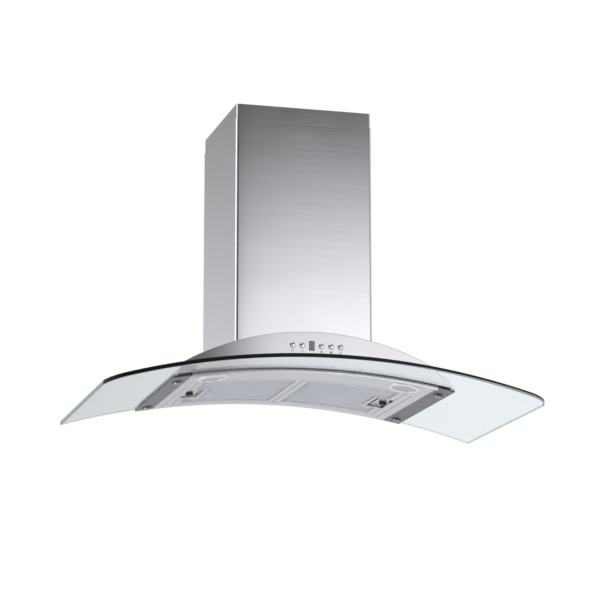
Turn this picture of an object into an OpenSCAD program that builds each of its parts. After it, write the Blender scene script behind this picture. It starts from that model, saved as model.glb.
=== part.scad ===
// Island range hood with an arched glass canopy and a telescoping square chimney.
// Millimetres. X is the width, Y the depth with the controls at -Y, Z points up.
// The origin is the centre of the ceiling plate's top face, so the hood hangs below Z = 0.

/* [Glass] */
// Width of the glass canopy
glass_w = 900; // [880:1:920]
// Depth of the glass canopy
glass_d = 510; // [495:1:525]
// Radius of the glass canopy's top face, across its width
glass_r = 1525; // [1480:5:1600]
// Radius of the two front corners of the glass
corner_r = 40; // [25:1:50]

/* [Body] */
// Width of the metal body on the glass
body_w = 570; // [566:1:576]
// Depth of the metal body, front panel to rear panel
body_d = 387; // [380:1:395]
// Height of the body's crown above the crown of the glass
body_h = 69; // [66:1:74]
// Radius of the arched deck and of the front panel's top edge
arch_r = 540; // [520:5:560]

/* [Chimney] */
// Side of the square lower chimney cover
chimney_w = 292; // [292:1:296]
// Height of the ceiling above the crown of the glass, with the chimney pushed together
ceiling_h = 565; // [560:1:580]
// Strip of the upper cover that shows above the lower one
reveal = 30.5; // [26:0.5:34]
// Outer radius of the chimney's bent corners
bend_r = 7; // [6:0.5:9]
// Outer diameter of the duct collar
duct_d = 150; // [148:1:150]

/* [Controls] */
// Distance between two neighbouring controls
control_pitch = 20; // [18:0.5:21]
// Height of the row of controls above the crown of the glass
control_h = 40; // [38:1:42]
// Diameter of a push button
button_d = 10.5; // [10:0.5:12]

/* [Hidden] */
$fn = 72;
arc_fn = 256;          // facets of the wide arcs in a preview
slack = 1;             // how far a cutter runs past the face it cuts
sheet = 1.2;           // pressed steel of the body and the blower box
cover_t = 1;           // folded steel of the chimney covers

// Levels and depths
crown_z = -ceiling_h;
back_y = chimney_w / 2;
glass_front_y = back_y - glass_d;
body_front_y = back_y - body_d;
glass_axis_z = crown_z - glass_r;
arch_axis_z = crown_z + body_h - arch_r;
half_body = body_w / 2;
shoulder_r = 13;       // rounded shoulder between the arch and the sides of the body

// Radii of the layers that are stacked on the glass's own axis
glass_t = 8;
corner_lap = 0.02;     // a rounding crosses the edges that it joins by this much
gasket_lower_t = 1.5;
gasket_upper_t = 1;
plate_t = 2;
flange_t = 1.5;
filter_t = 8;
glass_in_r = glass_r - glass_t;
plate_out_r = glass_in_r - gasket_lower_t;
under_r = plate_out_r - plate_t;
seat_r = glass_r + gasket_upper_t;
flange_r = seat_r + flange_t;
filter_top_r = under_r + filter_t;

// The cut-out in the glass and the opening for the filters: half widths and Y limits
cut_x = 250;
cut_y0 = body_front_y + 13;
cut_y1 = back_y - 28;
open_x = 220.5;
open_y0 = body_front_y + 94;
open_y1 = back_y - 33;
tray_x = 255;
strip_x0 = 255.5;
strip_x1 = 291.5;
wall_t = 1.5;
front_lip = 4;

// Glass bolts: one near each end of each clamp strip
bolt_x = (strip_x0 + strip_x1) / 2;
bolt_ys = [body_front_y + 55, back_y - 41];
bolt_r = 3;
bolt_head_r = 5.8;
cap_r = 8;
cap_dome_r = 14;
curve_gap = 0.04;        // keeps a flat seat clear of the bent sheet

// Filters
filter_gap = 1;
filter_x0 = 0.6;
filter_x1 = open_x - filter_gap;
filter_y0 = open_y0 + filter_gap;
filter_y1 = open_y1 - filter_gap;
rim = 13;
pivot_x = 20.6;
pivot_z = crown_z - glass_r + under_r + filter_t / 2;
pivot_r = 2;
pivot_stub = 3.5;      // length of a pivot pin outside the filter
run_gap = 0.05;        // radial clearance of a running fit

// Latch at the outer end of each filter
latch_x = 202;
latch_y = back_y - 154;
latch_r = under_r + 3.5;
notch_x0 = 184;
notch_half = 45;
notch_wall = 7;
latch_travel = 6;
knob_r = 8;

// Lamps
lamp_x = 200;
lamp_y = body_front_y + 55;
lamp_hole_r = 30;

// Telescoping frame
seam_z = -reveal;
upper_half = chimney_w / 2 - 1.5;
upper_len = 436;
angle_w = 25;
angle_t = 2;
upper_angle = 136;
lower_angle = 133.5;
lower_top_z = -40;
bolt_zs = [-60, -90];
slot_top_z = -52;
slot_end_z = -428;
slot_w = 7;
angle_hole = 122;
ring_top_z = crown_z + body_h + 10;
ring_half = chimney_w / 2 - 1.3;
ring_open = 112;
screw_x = 90;
screw_z = ring_top_z - 8;
screw_r = 2;

// Ceiling plate
plate_half = upper_half - cover_t - 0.6;
ceiling_t = 3;
ceiling_hole_r = 90;
ceiling_bolt = 110;
ceiling_bolt_r = 4;
skirt_z = -22;

// Blower box and collar
box_half = 120;
box_top_z = -205;
collar_r = duct_d / 2;
collar_in_r = collar_r - 1.5;
collar_top_z = -150;
flap_z = -184;
flap_r = collar_in_r - 1;
flap_t = 1;
pin_r = 1.5;

// Blower
fan_y = -32;
fan_z = -330;
fan_r = 60;
fan_half = 46;
scroll_half = 50;
scroll_r0 = 66;
scroll_r1 = 92;
scroll_a0 = 66;
scroll_t = 1.5;
inlet_r = 47.5;
motor_r = 38;
shaft_r = 4;
blades = 24;

// Controls
control_z = crown_z + control_h;
button_xs = [-2.5, -1.5, 0.5, 1.5, 2.5] * control_pitch;
display_x = -0.5 * control_pitch;
display_size = [11, 19];
button_travel = 1.5;
switch_h = 2;
panel_in_y = body_front_y + sheet;
guide_y = panel_in_y + 6;
guide_t = 3;
board_y = panel_in_y + 18;
stem_r = 3;
stem_end_y = board_y - switch_h - button_travel - 0.5;
housing_end_y = panel_in_y + 34;

// ---------------------------------------------------------------- helpers

// A round bar along Y.
module rod_y(x, z, r, y0, y1) {
    translate([x, y1, z]) rotate([90, 0, 0]) cylinder(r = r, h = y1 - y0);
}

// A round bar along X.
module rod_x(y, z, r, x0, x1) {
    translate([x0, y, z]) rotate([0, 90, 0]) cylinder(r = r, h = x1 - x0);
}

// A box given by its limits.
module block(x, y, z) {
    translate([x[0], y[0], z[0]]) cube([x[1] - x[0], y[1] - y[0], z[1] - z[0]]);
}

// A wide cylinder along Y on the axis that the glass is bent about.
module glass_drum(r, y0, y1) {
    translate([0, y1, glass_axis_z]) rotate([90, 0, 0]) cylinder(r = r, h = y1 - y0, $fn = arc_fn);
}

// The same on the axis of the arched deck.
module arch_drum(r, y0, y1) {
    translate([0, y1, arch_axis_z]) rotate([90, 0, 0]) cylinder(r = r, h = y1 - y0, $fn = arc_fn);
}

// A bent slab concentric with the glass, between radii r0 and r1.
module bent_slab(r0, r1, x, y) {
    intersection() {
        difference() {
            glass_drum(r1, y[0], y[1]);
            glass_drum(r0, y[0] - slack, y[1] + slack);
        }
        block(x, [y[0] - slack, y[1] + slack], [crown_z - 120, crown_z + 60]);
    }
}

// A bent rectangular frame: a slab with a rectangular window.
module bent_frame(r0, r1, x, y, hole_x, hole_y) {
    difference() {
        bent_slab(r0, r1, x, y);
        block(hole_x, hole_y, [crown_z - 130, crown_z + 70]);
    }
}

// Children stand on the bent layer of radius r, with their own Z square to it, on the line that meets
// the underside at (x, y). The same x therefore gives one axis through all layers.
module on_glass(x, y, r) {
    translate([0, y, glass_axis_z]) rotate([0, asin(x / under_r), 0]) translate([0, 0, r]) children();
}

module sided(side) {
    if (side < 0) mirror([1, 0, 0]) children();
    else children();
}

// What is cut off the +X end of the body's outline to round the shoulder between arch and side.
module shoulder(inset, y0, y1) {
    reach = 60;
    x = half_body - shoulder_r;
    z = arch_axis_z + sqrt(pow(arch_r - shoulder_r, 2) - x * x);
    turn = asin(x / (arch_r - shoulder_r));
    difference() {
        translate([x, y1 + slack, z]) rotate([90, 0, 0]) linear_extrude(height = y1 - y0 + 2 * slack)
            polygon([[0, 0], [reach, 0], [reach, reach], [reach * sin(turn), reach * cos(turn)]]);
        rod_y(x, z, shoulder_r - inset + corner_lap, y0 - 2 * slack, y1 + 2 * slack);
    }
}

// Space inside the body's outline: under the arch, between the sides, above the glass's gasket.
module body_space(inset, y0, y1) {
    difference() {
        intersection() {
            arch_drum(arch_r - inset, y0, y1);
            block([inset - half_body, half_body - inset], [y0 - slack, y1 + slack],
                [crown_z - 60, crown_z + body_h + slack]);
        }
        glass_drum(seat_r, y0 - slack, y1 + slack);
        for (side = [-1, 1]) sided(side) shoulder(inset, y0, y1);
    }
}

// Outline of a square with rounded corners, as points.
function rounded_square(half, r, steps = 8) = [
    for (c = [0 : 3]) for (i = [0 : steps])
        let (a = c * 90 + i * 90 / steps, s = c * 90 + 45, d = (half - r) * sqrt(2))
        [d * cos(s) + r * cos(a), d * sin(s) + r * sin(a)]
];

module square_tube(half, r, t, z0, z1) {
    translate([0, 0, z0]) difference() {
        linear_extrude(height = z1 - z0) polygon(rounded_square(half, r));
        translate([0, 0, -slack]) linear_extrude(height = z1 - z0 + 2 * slack)
            polygon(rounded_square(half - t, r - t));
    }
}

// Four upright steel angles with their outer faces at the given half width.
module four_angles(half, w, z0, z1) {
    for (a = [0 : 90 : 270])
        rotate([0, 0, a]) translate([0, 0, z0]) linear_extrude(height = z1 - z0)
            polygon([[half - w, half - angle_t], [half - angle_t, half - angle_t],
                [half - angle_t, half - w], [half, half - w], [half, half], [half - w, half]]);
}

// Children, drawn on the +Y leg of one angle, are copied to that leg's likeness on all four angles,
// starting from one quarter turn and going on by the given step.
module each_leg(first = 0, step = 1) {
    for (i = [first : step : 3]) rotate([0, 0, i * 90]) {
        children();
        mirror([1, 0, 0]) children();
    }
}

// ---------------------------------------------------------------- ceiling section

module ceiling_plate() {
    color("silver") difference() {
        union() {
            translate([0, 0, -ceiling_t]) linear_extrude(height = ceiling_t)
                polygon(rounded_square(plate_half, 4));
            square_tube(plate_half, 4, wall_t, skirt_z, -ceiling_t);
        }
        translate([0, 0, -ceiling_t - slack]) cylinder(r = ceiling_hole_r, h = ceiling_t + 2 * slack);
        for (x = [-1, 1], y = [-1, 1])
            translate([x * ceiling_bolt, y * ceiling_bolt, -ceiling_t - slack])
                cylinder(r = ceiling_bolt_r, h = ceiling_t + 2 * slack);
        translate([-ceiling_bolt, 0, -ceiling_t - slack]) cylinder(r = 11, h = ceiling_t + 2 * slack);
    }
}

module upper_uprights() {
    color("silver") difference() {
        four_angles(upper_angle, angle_w, -upper_len, -ceiling_t);
        each_leg()
            block([angle_hole - slot_w / 2, angle_hole + slot_w / 2],
                [upper_angle - angle_t - slack, upper_angle + slack], [slot_end_z, slot_top_z]);
    }
}

module upper_chimney() {
    color([0.62, 0.62, 0.64]) square_tube(upper_half, bend_r - 1.5, cover_t, -upper_len, 0);
}

// ---------------------------------------------------------------- canopy section: chimney

module lower_uprights() {
    color("silver") difference() {
        four_angles(lower_angle, 22, ring_top_z, lower_top_z);
        each_leg() for (z = bolt_zs)
            rod_y(angle_hole, z, 3.1, lower_angle - angle_t - slack, lower_angle + slack);
    }
}

module frame_bolts() {
    color("dimgray") for (k = [0, 1]) each_leg(k, 2) translate([angle_hole, 0, bolt_zs[k]]) {
        rod_y(0, 0, 3, lower_angle - angle_t - 7, upper_angle + slack);
        rod_y(0, 0, 5.5, upper_angle, upper_angle + 4);
        translate([0, lower_angle - angle_t, 0]) rotate([90, 0, 0]) cylinder(r = 5.5, h = 5, $fn = 6);
    }
}

module lower_chimney() {
    color([0.72, 0.72, 0.75]) difference() {
        square_tube(chimney_w / 2, bend_r, cover_t, crown_z, seam_z);
        arch_drum(arch_r + 0.3, -chimney_w, chimney_w);
        for (x = [-1, 1]) rod_y(x * screw_x, screw_z, screw_r, 0, back_y + slack);
    }
}

// Two screws low in the back of the lower cover, into the mounting ring.
module cover_screws() {
    color("silver") for (x = [-1, 1]) {
        rod_y(x * screw_x, screw_z, screw_r, ring_half - 4, back_y + slack);
        rod_y(x * screw_x, screw_z, 2 * screw_r, back_y, back_y + 1.8);
    }
}

module mounting_ring() {
    color("silver") difference() {
        union() {
            square_tube(ring_half, bend_r - 1.3, wall_t, crown_z, ring_top_z);
            difference() {
                translate([0, 0, ring_top_z - plate_t]) linear_extrude(height = plate_t)
                    polygon(rounded_square(ring_half, bend_r - 1.3));
                block([-ring_open, ring_open], [-ring_open, ring_open],
                    [ring_top_z - plate_t - slack, ring_top_z + slack]);
            }
        }
        arch_drum(arch_r - 0.7, -chimney_w, chimney_w);
        for (x = [-1, 1]) rod_y(x * screw_x, screw_z, screw_r, 0, ring_half + slack);
    }
}

// ---------------------------------------------------------------- canopy section: blower

module blower_box() {
    color("lightgray") difference() {
        union() {
            block([-box_half, box_half], [-box_half, box_half], [ring_top_z, box_top_z]);
            for (a = [0 : 90 : 270]) rotate([0, 0, a])
                block([-95, 95], [box_half - slack, box_half + 10], [ring_top_z, ring_top_z + sheet]);
        }
        block([sheet - box_half, box_half - sheet], [sheet - box_half, box_half - sheet],
            [ring_top_z - slack, box_top_z - sheet]);
        translate([0, 0, box_top_z - 2 * slack]) cylinder(r = collar_in_r, h = 4 * slack);
    }
}

module outlet_collar() {
    color("dimgray") difference() {
        rotate_extrude() polygon([
            [flap_r - 3.5, flap_z - 3], [collar_in_r, flap_z - 3], [collar_in_r, box_top_z],
            [collar_r + 14, box_top_z], [collar_r + 14, box_top_z + 1.5],
            [collar_r, box_top_z + 1.5], [collar_r, collar_top_z], [collar_in_r, collar_top_z],
            [collar_in_r, flap_z - 0.8], [flap_r - 3.5, flap_z - 0.8]
        ]);
        rod_y(0, flap_z, pin_r, -collar_r - slack, collar_r + slack);
    }
}

module damper_pin() {
    color("silver") rod_y(0, flap_z, pin_r, 0.5 - collar_r, collar_r - 0.5);
}

// Half-round backdraft flap on the -X side, with two knuckles on the pin.
module damper(knuckles) {
    difference() {
        union() {
            difference() {
                translate([0, 0, flap_z - flap_t / 2]) cylinder(r = flap_r, h = flap_t);
                block([-4, flap_r + slack], [-flap_r - slack, flap_r + slack], [flap_z - 2, flap_z + 2]);
            }
            for (k = knuckles) {
                rod_y(0, flap_z, 3, k[0], k[1]);
                block([-5, 0], k, [flap_z - flap_t / 2, flap_z + flap_t / 2]);
            }
        }
        rod_y(0, flap_z, pin_r + run_gap, -flap_r - slack, flap_r + slack);
    }
}

module damper_left() {
    color("gray") damper([[-60, -31], [1, 30]]);
}

module damper_right() {
    color("gray") mirror([1, 0, 0]) damper([[-30, -1], [31, 60]]);
}

// The scroll's outline in Y and Z about the fan's axis; it opens upwards on the +Y side.
function scroll_radius(a) = scroll_r0 + (scroll_r1 - scroll_r0) * (a - scroll_a0) / (360 - scroll_a0);
function scroll_outline(grow, top) = concat(
    [for (a = [scroll_a0 : 6 : 360]) (scroll_radius(a) + grow) * [cos(a), sin(a)]],
    [[scroll_r1 + grow, top], [scroll_r0 * cos(scroll_a0) - grow, top]]
);

module scroll_prism(grow, half, top) {
    translate([-half, fan_y, fan_z]) rotate([90, 0, 90]) linear_extrude(height = 2 * half)
        polygon(scroll_outline(grow, top));
}

module scroll_housing() {
    top = box_top_z - sheet - fan_z;
    color("lightgray") difference() {
        scroll_prism(scroll_t, scroll_half, top);
        scroll_prism(0, scroll_half - scroll_t, top + slack);
        rod_x(fan_y, fan_z, 50, -scroll_half - slack, scroll_half + slack);
    }
}

// Inlet ring on the +X side: a short throat into the wheel's eye and a flange on the scroll.
module inlet_ring() {
    translate([0, fan_y, fan_z]) rotate([0, 90, 0]) rotate_extrude() polygon([
        [inlet_r - 1.5, fan_half - 4], [inlet_r, fan_half - 4], [inlet_r, scroll_half],
        [fan_r, scroll_half], [fan_r, scroll_half + 1.5], [inlet_r + 3, scroll_half + 1.5],
        [inlet_r + 0.5, scroll_half + 4], [inlet_r - 1.5, scroll_half + 2]
    ]);
}

module inlet_ring_left() {
    color("silver") mirror([1, 0, 0]) inlet_ring();
}

module inlet_ring_right() {
    color("silver") inlet_ring();
}

module impeller() {
    color("dimgray") difference() {
        union() {
            rod_x(fan_y, fan_z, fan_r, -1.5, 1.5);
            rod_x(fan_y, fan_z, 12, -16, 3);
            for (x = [-fan_half, fan_half - 2]) difference() {
                rod_x(fan_y, fan_z, fan_r, x, x + 2);
                rod_x(fan_y, fan_z, 49.5, x - slack, x + 2 + slack);
            }
            translate([0, fan_y, fan_z]) for (i = [0 : blades - 1])
                rotate([i * 360 / blades, 0, 0]) translate([1 - fan_half, -0.6, 50.5]) rotate([20, 0, 0])
                    cube([2 * fan_half - 2, 1.2, 8.5]);
        }
        rod_x(fan_y, fan_z, shaft_r, -20, 10);
    }
}

module motor_shaft() {
    color("silver") rod_x(fan_y, fan_z, shaft_r, -18, 64);
}

module motor() {
    color("gray") difference() {
        union() {
            rod_x(fan_y, fan_z, motor_r - 2, 6, 60);
            rod_x(fan_y, fan_z, motor_r, 12, 54);
        }
        rod_x(fan_y, fan_z, shaft_r + run_gap, 0, 70);
    }
}

module motor_bracket() {
    color("silver") {
        difference() {
            union() {
                rod_x(fan_y, fan_z, 41, 40, 56.5);
                translate([0, fan_y, fan_z]) for (a = [30, 150, 270])
                    rotate([a, 0, 0]) block([54.5, 56.5], [-6, 6], [39, 58]);
                rod_x(fan_y, fan_z, 58, 54.5, 56.5);
            }
            rod_x(fan_y, fan_z, motor_r, 30, 70);
            difference() {
                rod_x(fan_y, fan_z, 52, 54, 57);
                rod_x(fan_y, fan_z, 41, 53, 58);
                translate([0, fan_y, fan_z]) for (a = [30, 150, 270])
                    rotate([a, 0, 0]) block([53, 58], [-6, 6], [39, 60]);
            }
        }
        translate([0, fan_y, fan_z]) for (a = [30, 150, 270])
            rotate([a, 0, 0]) translate([scroll_half + 1.5, 0, 55]) rotate([0, 90, 0])
                cylinder(r = 3, h = 3.5);
    }
}

module capacitor() {
    color("white") translate([box_half + 10.5, 0, -330]) cylinder(r = 9.8, h = 50);
}

module terminal_box() {
    color("whitesmoke") block([-box_half - 21, -box_half], [-35, 35], [-300, -230]);
}

module cable_gland() {
    color("dimgray") translate([-box_half - 10.5, 0, -230]) {
        cylinder(r = 9, h = 6, $fn = 6);
        cylinder(r = 7, h = 14);
    }
}

// ---------------------------------------------------------------- canopy section: body

module body_shell() {
    y0 = panel_in_y;
    y1 = back_y - sheet;
    color([0.70, 0.70, 0.73]) difference() {
        union() {
            difference() {
                body_space(1, y0, y1);
                body_space(1 + sheet, y0 - slack, y1 + slack);
            }
            bent_frame(seat_r, flange_r, [1.5 - half_body, half_body - 1.5], [y0, y1],
                [-cut_x + 0.5, cut_x - 0.5], [cut_y0 + 0.5, cut_y1 - 0.5]);
        }
        block([-ring_open, ring_open], [-ring_open, ring_open], [crown_z + 20, crown_z + body_h + slack]);
        for (side = [-1, 1], y = bolt_ys)
            on_glass(side * bolt_x, y, seat_r - slack) cylinder(r = bolt_r + 0.5, h = 4);
    }
}

module front_panel() {
    y0 = body_front_y;
    lip_r = arch_r - 1 - sheet - 0.1;
    color([0.78, 0.78, 0.82]) difference() {
        union() {
            body_space(0, y0, panel_in_y);
            difference() {
                intersection() {
                    arch_drum(lip_r, y0, panel_in_y + 12);
                    block([-270, 270], [y0, panel_in_y + 12], [crown_z - 20, crown_z + body_h]);
                }
                arch_drum(lip_r - sheet, y0 - slack, panel_in_y + 12 + slack);
            }
        }
        for (x = button_xs) rod_y(x, control_z, button_d / 2 + 0.35, y0 - slack, panel_in_y + slack);
        block([display_x - display_size[0] / 2 - 0.2, display_x + display_size[0] / 2 + 0.2],
            [y0 - slack, panel_in_y + slack],
            [control_z - display_size[1] / 2 - 0.2, control_z + display_size[1] / 2 + 0.2]);
    }
}

module rear_panel() {
    color([0.74, 0.74, 0.77]) body_space(0, back_y - sheet, back_y);
}

module glass_corner(side) {
    difference() {
        sided(side) block([glass_w / 2 - corner_r, glass_w / 2 + slack],
            [glass_front_y - slack, glass_front_y + corner_r], [crown_z - 130, crown_z + 20]);
        translate([side * (glass_w / 2 - corner_r), glass_front_y + corner_r, crown_z - 140])
            cylinder(r = corner_r + corner_lap, h = 170);
    }
}

module glass_canopy() {
    color([0.80, 0.86, 0.88, 0.4]) difference() {
        bent_frame(glass_in_r, glass_r, [-glass_w / 2, glass_w / 2], [glass_front_y, back_y],
            [-cut_x, cut_x], [cut_y0, cut_y1]);
        for (side = [-1, 1]) {
            glass_corner(side);
            for (y = bolt_ys)
                on_glass(side * bolt_x, y, glass_in_r - slack)
                    cylinder(r = bolt_r + 2, h = glass_t + 2 * slack);
        }
    }
}

module gasket(r0, r1, x1, y0, y1) {
    color([0.1, 0.1, 0.1]) difference() {
        bent_frame(r0, r1, [-x1, x1], [y0, y1], [-cut_x, cut_x], [cut_y0, cut_y1]);
        for (side = [-1, 1], y = bolt_ys)
            on_glass(side * bolt_x, y, r0 - slack) cylinder(r = bolt_r + 0.5, h = r1 - r0 + 2 * slack);
    }
}

module gasket_upper() {
    gasket(glass_r, seat_r, half_body - 0.5, body_front_y + 0.5, back_y - 0.5);
}

module gasket_lower() {
    gasket(plate_out_r, glass_in_r, strip_x1 - 1, body_front_y + 1, back_y - 1);
}

module clamp_strip(side) {
    color([0.28, 0.29, 0.33]) sided(side) difference() {
        bent_slab(under_r, plate_out_r, [strip_x0, strip_x1], [body_front_y, back_y]);
        for (y = bolt_ys) on_glass(bolt_x, y, under_r - slack) cylinder(r = bolt_r + 0.3, h = 4);
    }
}

module clamp_strip_left() {
    clamp_strip(-1);
}

module clamp_strip_right() {
    clamp_strip(1);
}

module glass_bolts() {
    color("silver") for (side = [-1, 1], y = bolt_ys) on_glass(side * bolt_x, y, flange_r) {
        rotate([0, 0, 30]) cylinder(r = bolt_head_r, h = 4, $fn = 6);
        translate([0, 0, under_r - 4 - flange_r]) cylinder(r = bolt_r, h = flange_r - under_r + 4 + slack);
    }
}

module cap_nuts() {
    color([0.15, 0.15, 0.16]) for (side = [-1, 1], y = bolt_ys) on_glass(side * bolt_x, y, under_r)
        difference() {
            intersection() {
                translate([0, 0, -6.5]) cylinder(r = cap_r, h = 6.5 - curve_gap);
                translate([0, 0, cap_dome_r - 6.5]) sphere(r = cap_dome_r);
            }
            translate([0, 0, -4.2]) cylinder(r = bolt_r + 0.02, h = 4.2 + slack);
        }
}

// Tray under the glass: it carries the filters and lamps, and stands up through the cut-out.
module underside_tray() {
    groove_x = 235;
    color([0.72, 0.72, 0.74]) difference() {
        union() {
            bent_slab(under_r, plate_out_r, [-tray_x, tray_x], [body_front_y, back_y]);
            bent_slab(under_r - front_lip, under_r + slack, [-tray_x, tray_x],
                [body_front_y, body_front_y + plate_out_r - under_r]);
            bent_slab(plate_out_r - slack, under_r + 16, [-open_x - wall_t, open_x + wall_t],
                [open_y0 - wall_t, open_y1 + wall_t]);
            bent_frame(plate_out_r - slack, flange_r, [1 - cut_x, cut_x - 1], [cut_y0 + 1, cut_y1 - 1],
                [2.5 - cut_x, cut_x - 2.5], [cut_y0 + 2.5, cut_y1 - 2.5]);
        }
        block([-open_x, open_x], [open_y0, open_y1], [crown_z - 60, crown_z + 30]);
        for (side = [-1, 1]) {
            rod_y(side * pivot_x, pivot_z, pivot_r + run_gap, open_y0 - 2 * wall_t, open_y1 + 2 * wall_t);
            on_glass(side * lamp_x, lamp_y, under_r - slack) cylinder(r = lamp_hole_r, h = 5);
            sided(side) bent_slab(under_r - slack, under_r + 1.2, [groove_x, groove_x + 1.5],
                [open_y0 + 20, back_y - 14]);
        }
    }
}

// ---------------------------------------------------------------- filters, drawn on the +X side

// Outline of the mesh pack, which steps round the latch's recess.
module mesh_prism() {
    difference() {
        block([filter_x0 + rim, filter_x1 - rim], [filter_y0 + rim, filter_y1 - rim],
            [crown_z - 60, crown_z + 30]);
        block([notch_x0 - notch_wall, filter_x1],
            [latch_y - notch_half - notch_wall, latch_y + notch_half + notch_wall],
            [crown_z - 70, crown_z + 40]);
    }
}

module filter_frame(side) {
    color([0.68, 0.68, 0.70]) sided(side) {
        difference() {
            bent_slab(under_r, filter_top_r, [filter_x0, filter_x1], [filter_y0, filter_y1]);
            mesh_prism();
            intersection() {
                glass_drum(filter_top_r - 2, latch_y - notch_half, latch_y + notch_half);
                block([notch_x0, filter_x1 + slack], [latch_y - 60, latch_y + 60],
                    [crown_z - 60, crown_z + 30]);
            }
        }
        for (y = [[filter_y0 - pivot_stub, filter_y0 + 3], [filter_y1 - 3, filter_y1 + pivot_stub]])
            rod_y(pivot_x, pivot_z, pivot_r, y[0], y[1]);
        on_glass(latch_x, latch_y, latch_r) for (y = [-1, 1]) translate([-2, y * 28, 0]) {
            translate([0, 0, -1.5]) cylinder(r = 2, h = filter_top_r - 1 - latch_r + 1.5);
            translate([0, 0, -2.3]) cylinder(r = 4, h = 1.1);
        }
    }
}

module filter_mesh(side) {
    color([0.60, 0.60, 0.62]) sided(side) intersection() {
        glass_drum(filter_top_r - 1.5, filter_y0, filter_y1);
        mesh_prism();
        difference() {
            block([filter_x0, filter_x1], [filter_y0, filter_y1], [crown_z - 50, crown_z + 20]);
            glass_drum(under_r + 1, filter_y0 - slack, filter_y1 + slack);
        }
    }
}

// Sliding latch plate: its tongue points at the tray's wall, its two slots run on headed posts.
module latch(side) {
    color([0.66, 0.68, 0.64]) sided(side) on_glass(latch_x, latch_y, latch_r) difference() {
        union() {
            block([-10, 14], [-38, 38], [-0.75, 0.75]);
            block([10, 18], [-12, 12], [-0.75, 0.75]);
        }
        for (y = [-28, 28]) {
            block([-2, -2 + latch_travel], [y - 2.3, y + 2.3], [-slack, slack]);
            for (x = [-2, -2 + latch_travel]) translate([x, y, -slack]) cylinder(r = 2.3, h = 2 * slack);
        }
    }
}

module latch_knob(side) {
    color([0.05, 0.05, 0.05]) sided(side) on_glass(latch_x, latch_y, latch_r) translate([7, 0, -6.5])
        difference() {
            cylinder(r = knob_r, h = 5.75);
            translate([0, 0, -16]) sphere(r = 17.5);
        }
}

module filter_frame_left() {
    filter_frame(-1);
}

module filter_frame_right() {
    filter_frame(1);
}

module filter_mesh_left() {
    filter_mesh(-1);
}

module filter_mesh_right() {
    filter_mesh(1);
}

module latch_left() {
    latch(-1);
}

module latch_right() {
    latch(1);
}

module latch_knob_left() {
    latch_knob(-1);
}

module latch_knob_right() {
    latch_knob(1);
}

// ---------------------------------------------------------------- lamps

module lamp_bezel(side) {
    color("silver") on_glass(side * lamp_x, lamp_y, under_r) rotate_extrude() polygon([
        [24, -2.9], [32, -2.9], [34, -1.4], [34, -0.4], [29.7, -0.4], [29.7, 6], [28, 6], [28, -1.4],
        [24, -1.4]
    ]);
}

module lamp_lens(side) {
    color([0.95, 0.95, 0.9]) on_glass(side * lamp_x, lamp_y, under_r)
        translate([0, 0, -1.4]) cylinder(r = 27.9, h = 2.9);
}

module lamp_cup(side) {
    color("gray") on_glass(side * lamp_x, lamp_y, under_r) rotate_extrude() polygon([
        [26.5, 1.5], [27.8, 1.5], [27.8, 20], [16, 32], [0, 32], [0, 30.5], [15.3, 30.5], [26.5, 19.3]
    ]);
}

module lamp_bezel_left() {
    lamp_bezel(-1);
}

module lamp_bezel_right() {
    lamp_bezel(1);
}

module lamp_lens_left() {
    lamp_lens(-1);
}

module lamp_lens_right() {
    lamp_lens(1);
}

module lamp_cup_left() {
    lamp_cup(-1);
}

module lamp_cup_right() {
    lamp_cup(1);
}

module lamp_transformer() {
    floor_z = crown_z - glass_r + plate_out_r;
    color([0.15, 0.15, 0.18])
        block([-35, 35], [lamp_y - 25, lamp_y + 20], [floor_z + 0.2, floor_z + 24]);
}

// ---------------------------------------------------------------- controls

module control_housing() {
    color([0.2, 0.2, 0.22]) difference() {
        block([-68, 68], [panel_in_y, housing_end_y], [control_z - 16, control_z + 14]);
        block([-66, 66], [panel_in_y - slack, housing_end_y - 2], [control_z - 14, control_z + 12]);
    }
}

module button_guide() {
    color([0.9, 0.9, 0.9]) difference() {
        block([-66, 66], [guide_y, guide_y + guide_t], [control_z - 14, control_z + 12]);
        for (x = button_xs)
            rod_y(x, control_z, stem_r + run_gap, guide_y - slack, guide_y + guide_t + slack);
        block([display_x - 6.2, display_x + 6.2], [guide_y - slack, guide_y + guide_t + slack],
            [control_z - 10.2, control_z + 10.2]);
    }
}

module control_board() {
    color("darkgreen") {
        block([-64, 64], [board_y, board_y + 1.6], [control_z - 13, control_z + 11]);
        for (x = button_xs)
            block([x - 3, x + 3], [board_y - switch_h, board_y + 0.1], [control_z - 3, control_z + 3]);
    }
}

module display_module() {
    color([0.15, 0.13, 0.2])
        block([display_x - 6, display_x + 6], [panel_in_y + 2, board_y], [control_z - 10, control_z + 10]);
}

module display_window() {
    hx = display_size[0] / 2;
    hz = display_size[1] / 2;
    color([0.25, 0.22, 0.35]) {
        block([display_x - hx, display_x + hx], [body_front_y - 0.4, panel_in_y + slack],
            [control_z - hz, control_z + hz]);
        block([display_x - hx - 1.5, display_x + hx + 1.5], [panel_in_y, panel_in_y + 2],
            [control_z - hz - 1.5, control_z + hz + 1.5]);
    }
}

// Domed cap through the panel, a flange that holds it behind, and a stem through the guide.
module button(i) {
    r = button_d / 2;
    color([0.8, 0.8, 0.82]) translate([button_xs[i], 0, control_z]) {
        intersection() {
            rod_y(0, 0, r, body_front_y - 3.6, panel_in_y + 0.5);
            translate([0, body_front_y + 3.4, 0]) sphere(r = 7);
        }
        rod_y(0, 0, r, body_front_y - 0.6, panel_in_y + 0.6);
        rod_y(0, 0, r + 1.2, panel_in_y + 0.5, panel_in_y + 2);
        rod_y(0, 0, stem_r, panel_in_y + 1, stem_end_y);
    }
}

module button_1() {
    button(0);
}

module button_2() {
    button(1);
}

module button_3() {
    button(2);
}

module button_4() {
    button(3);
}

module button_5() {
    button(4);
}

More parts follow.
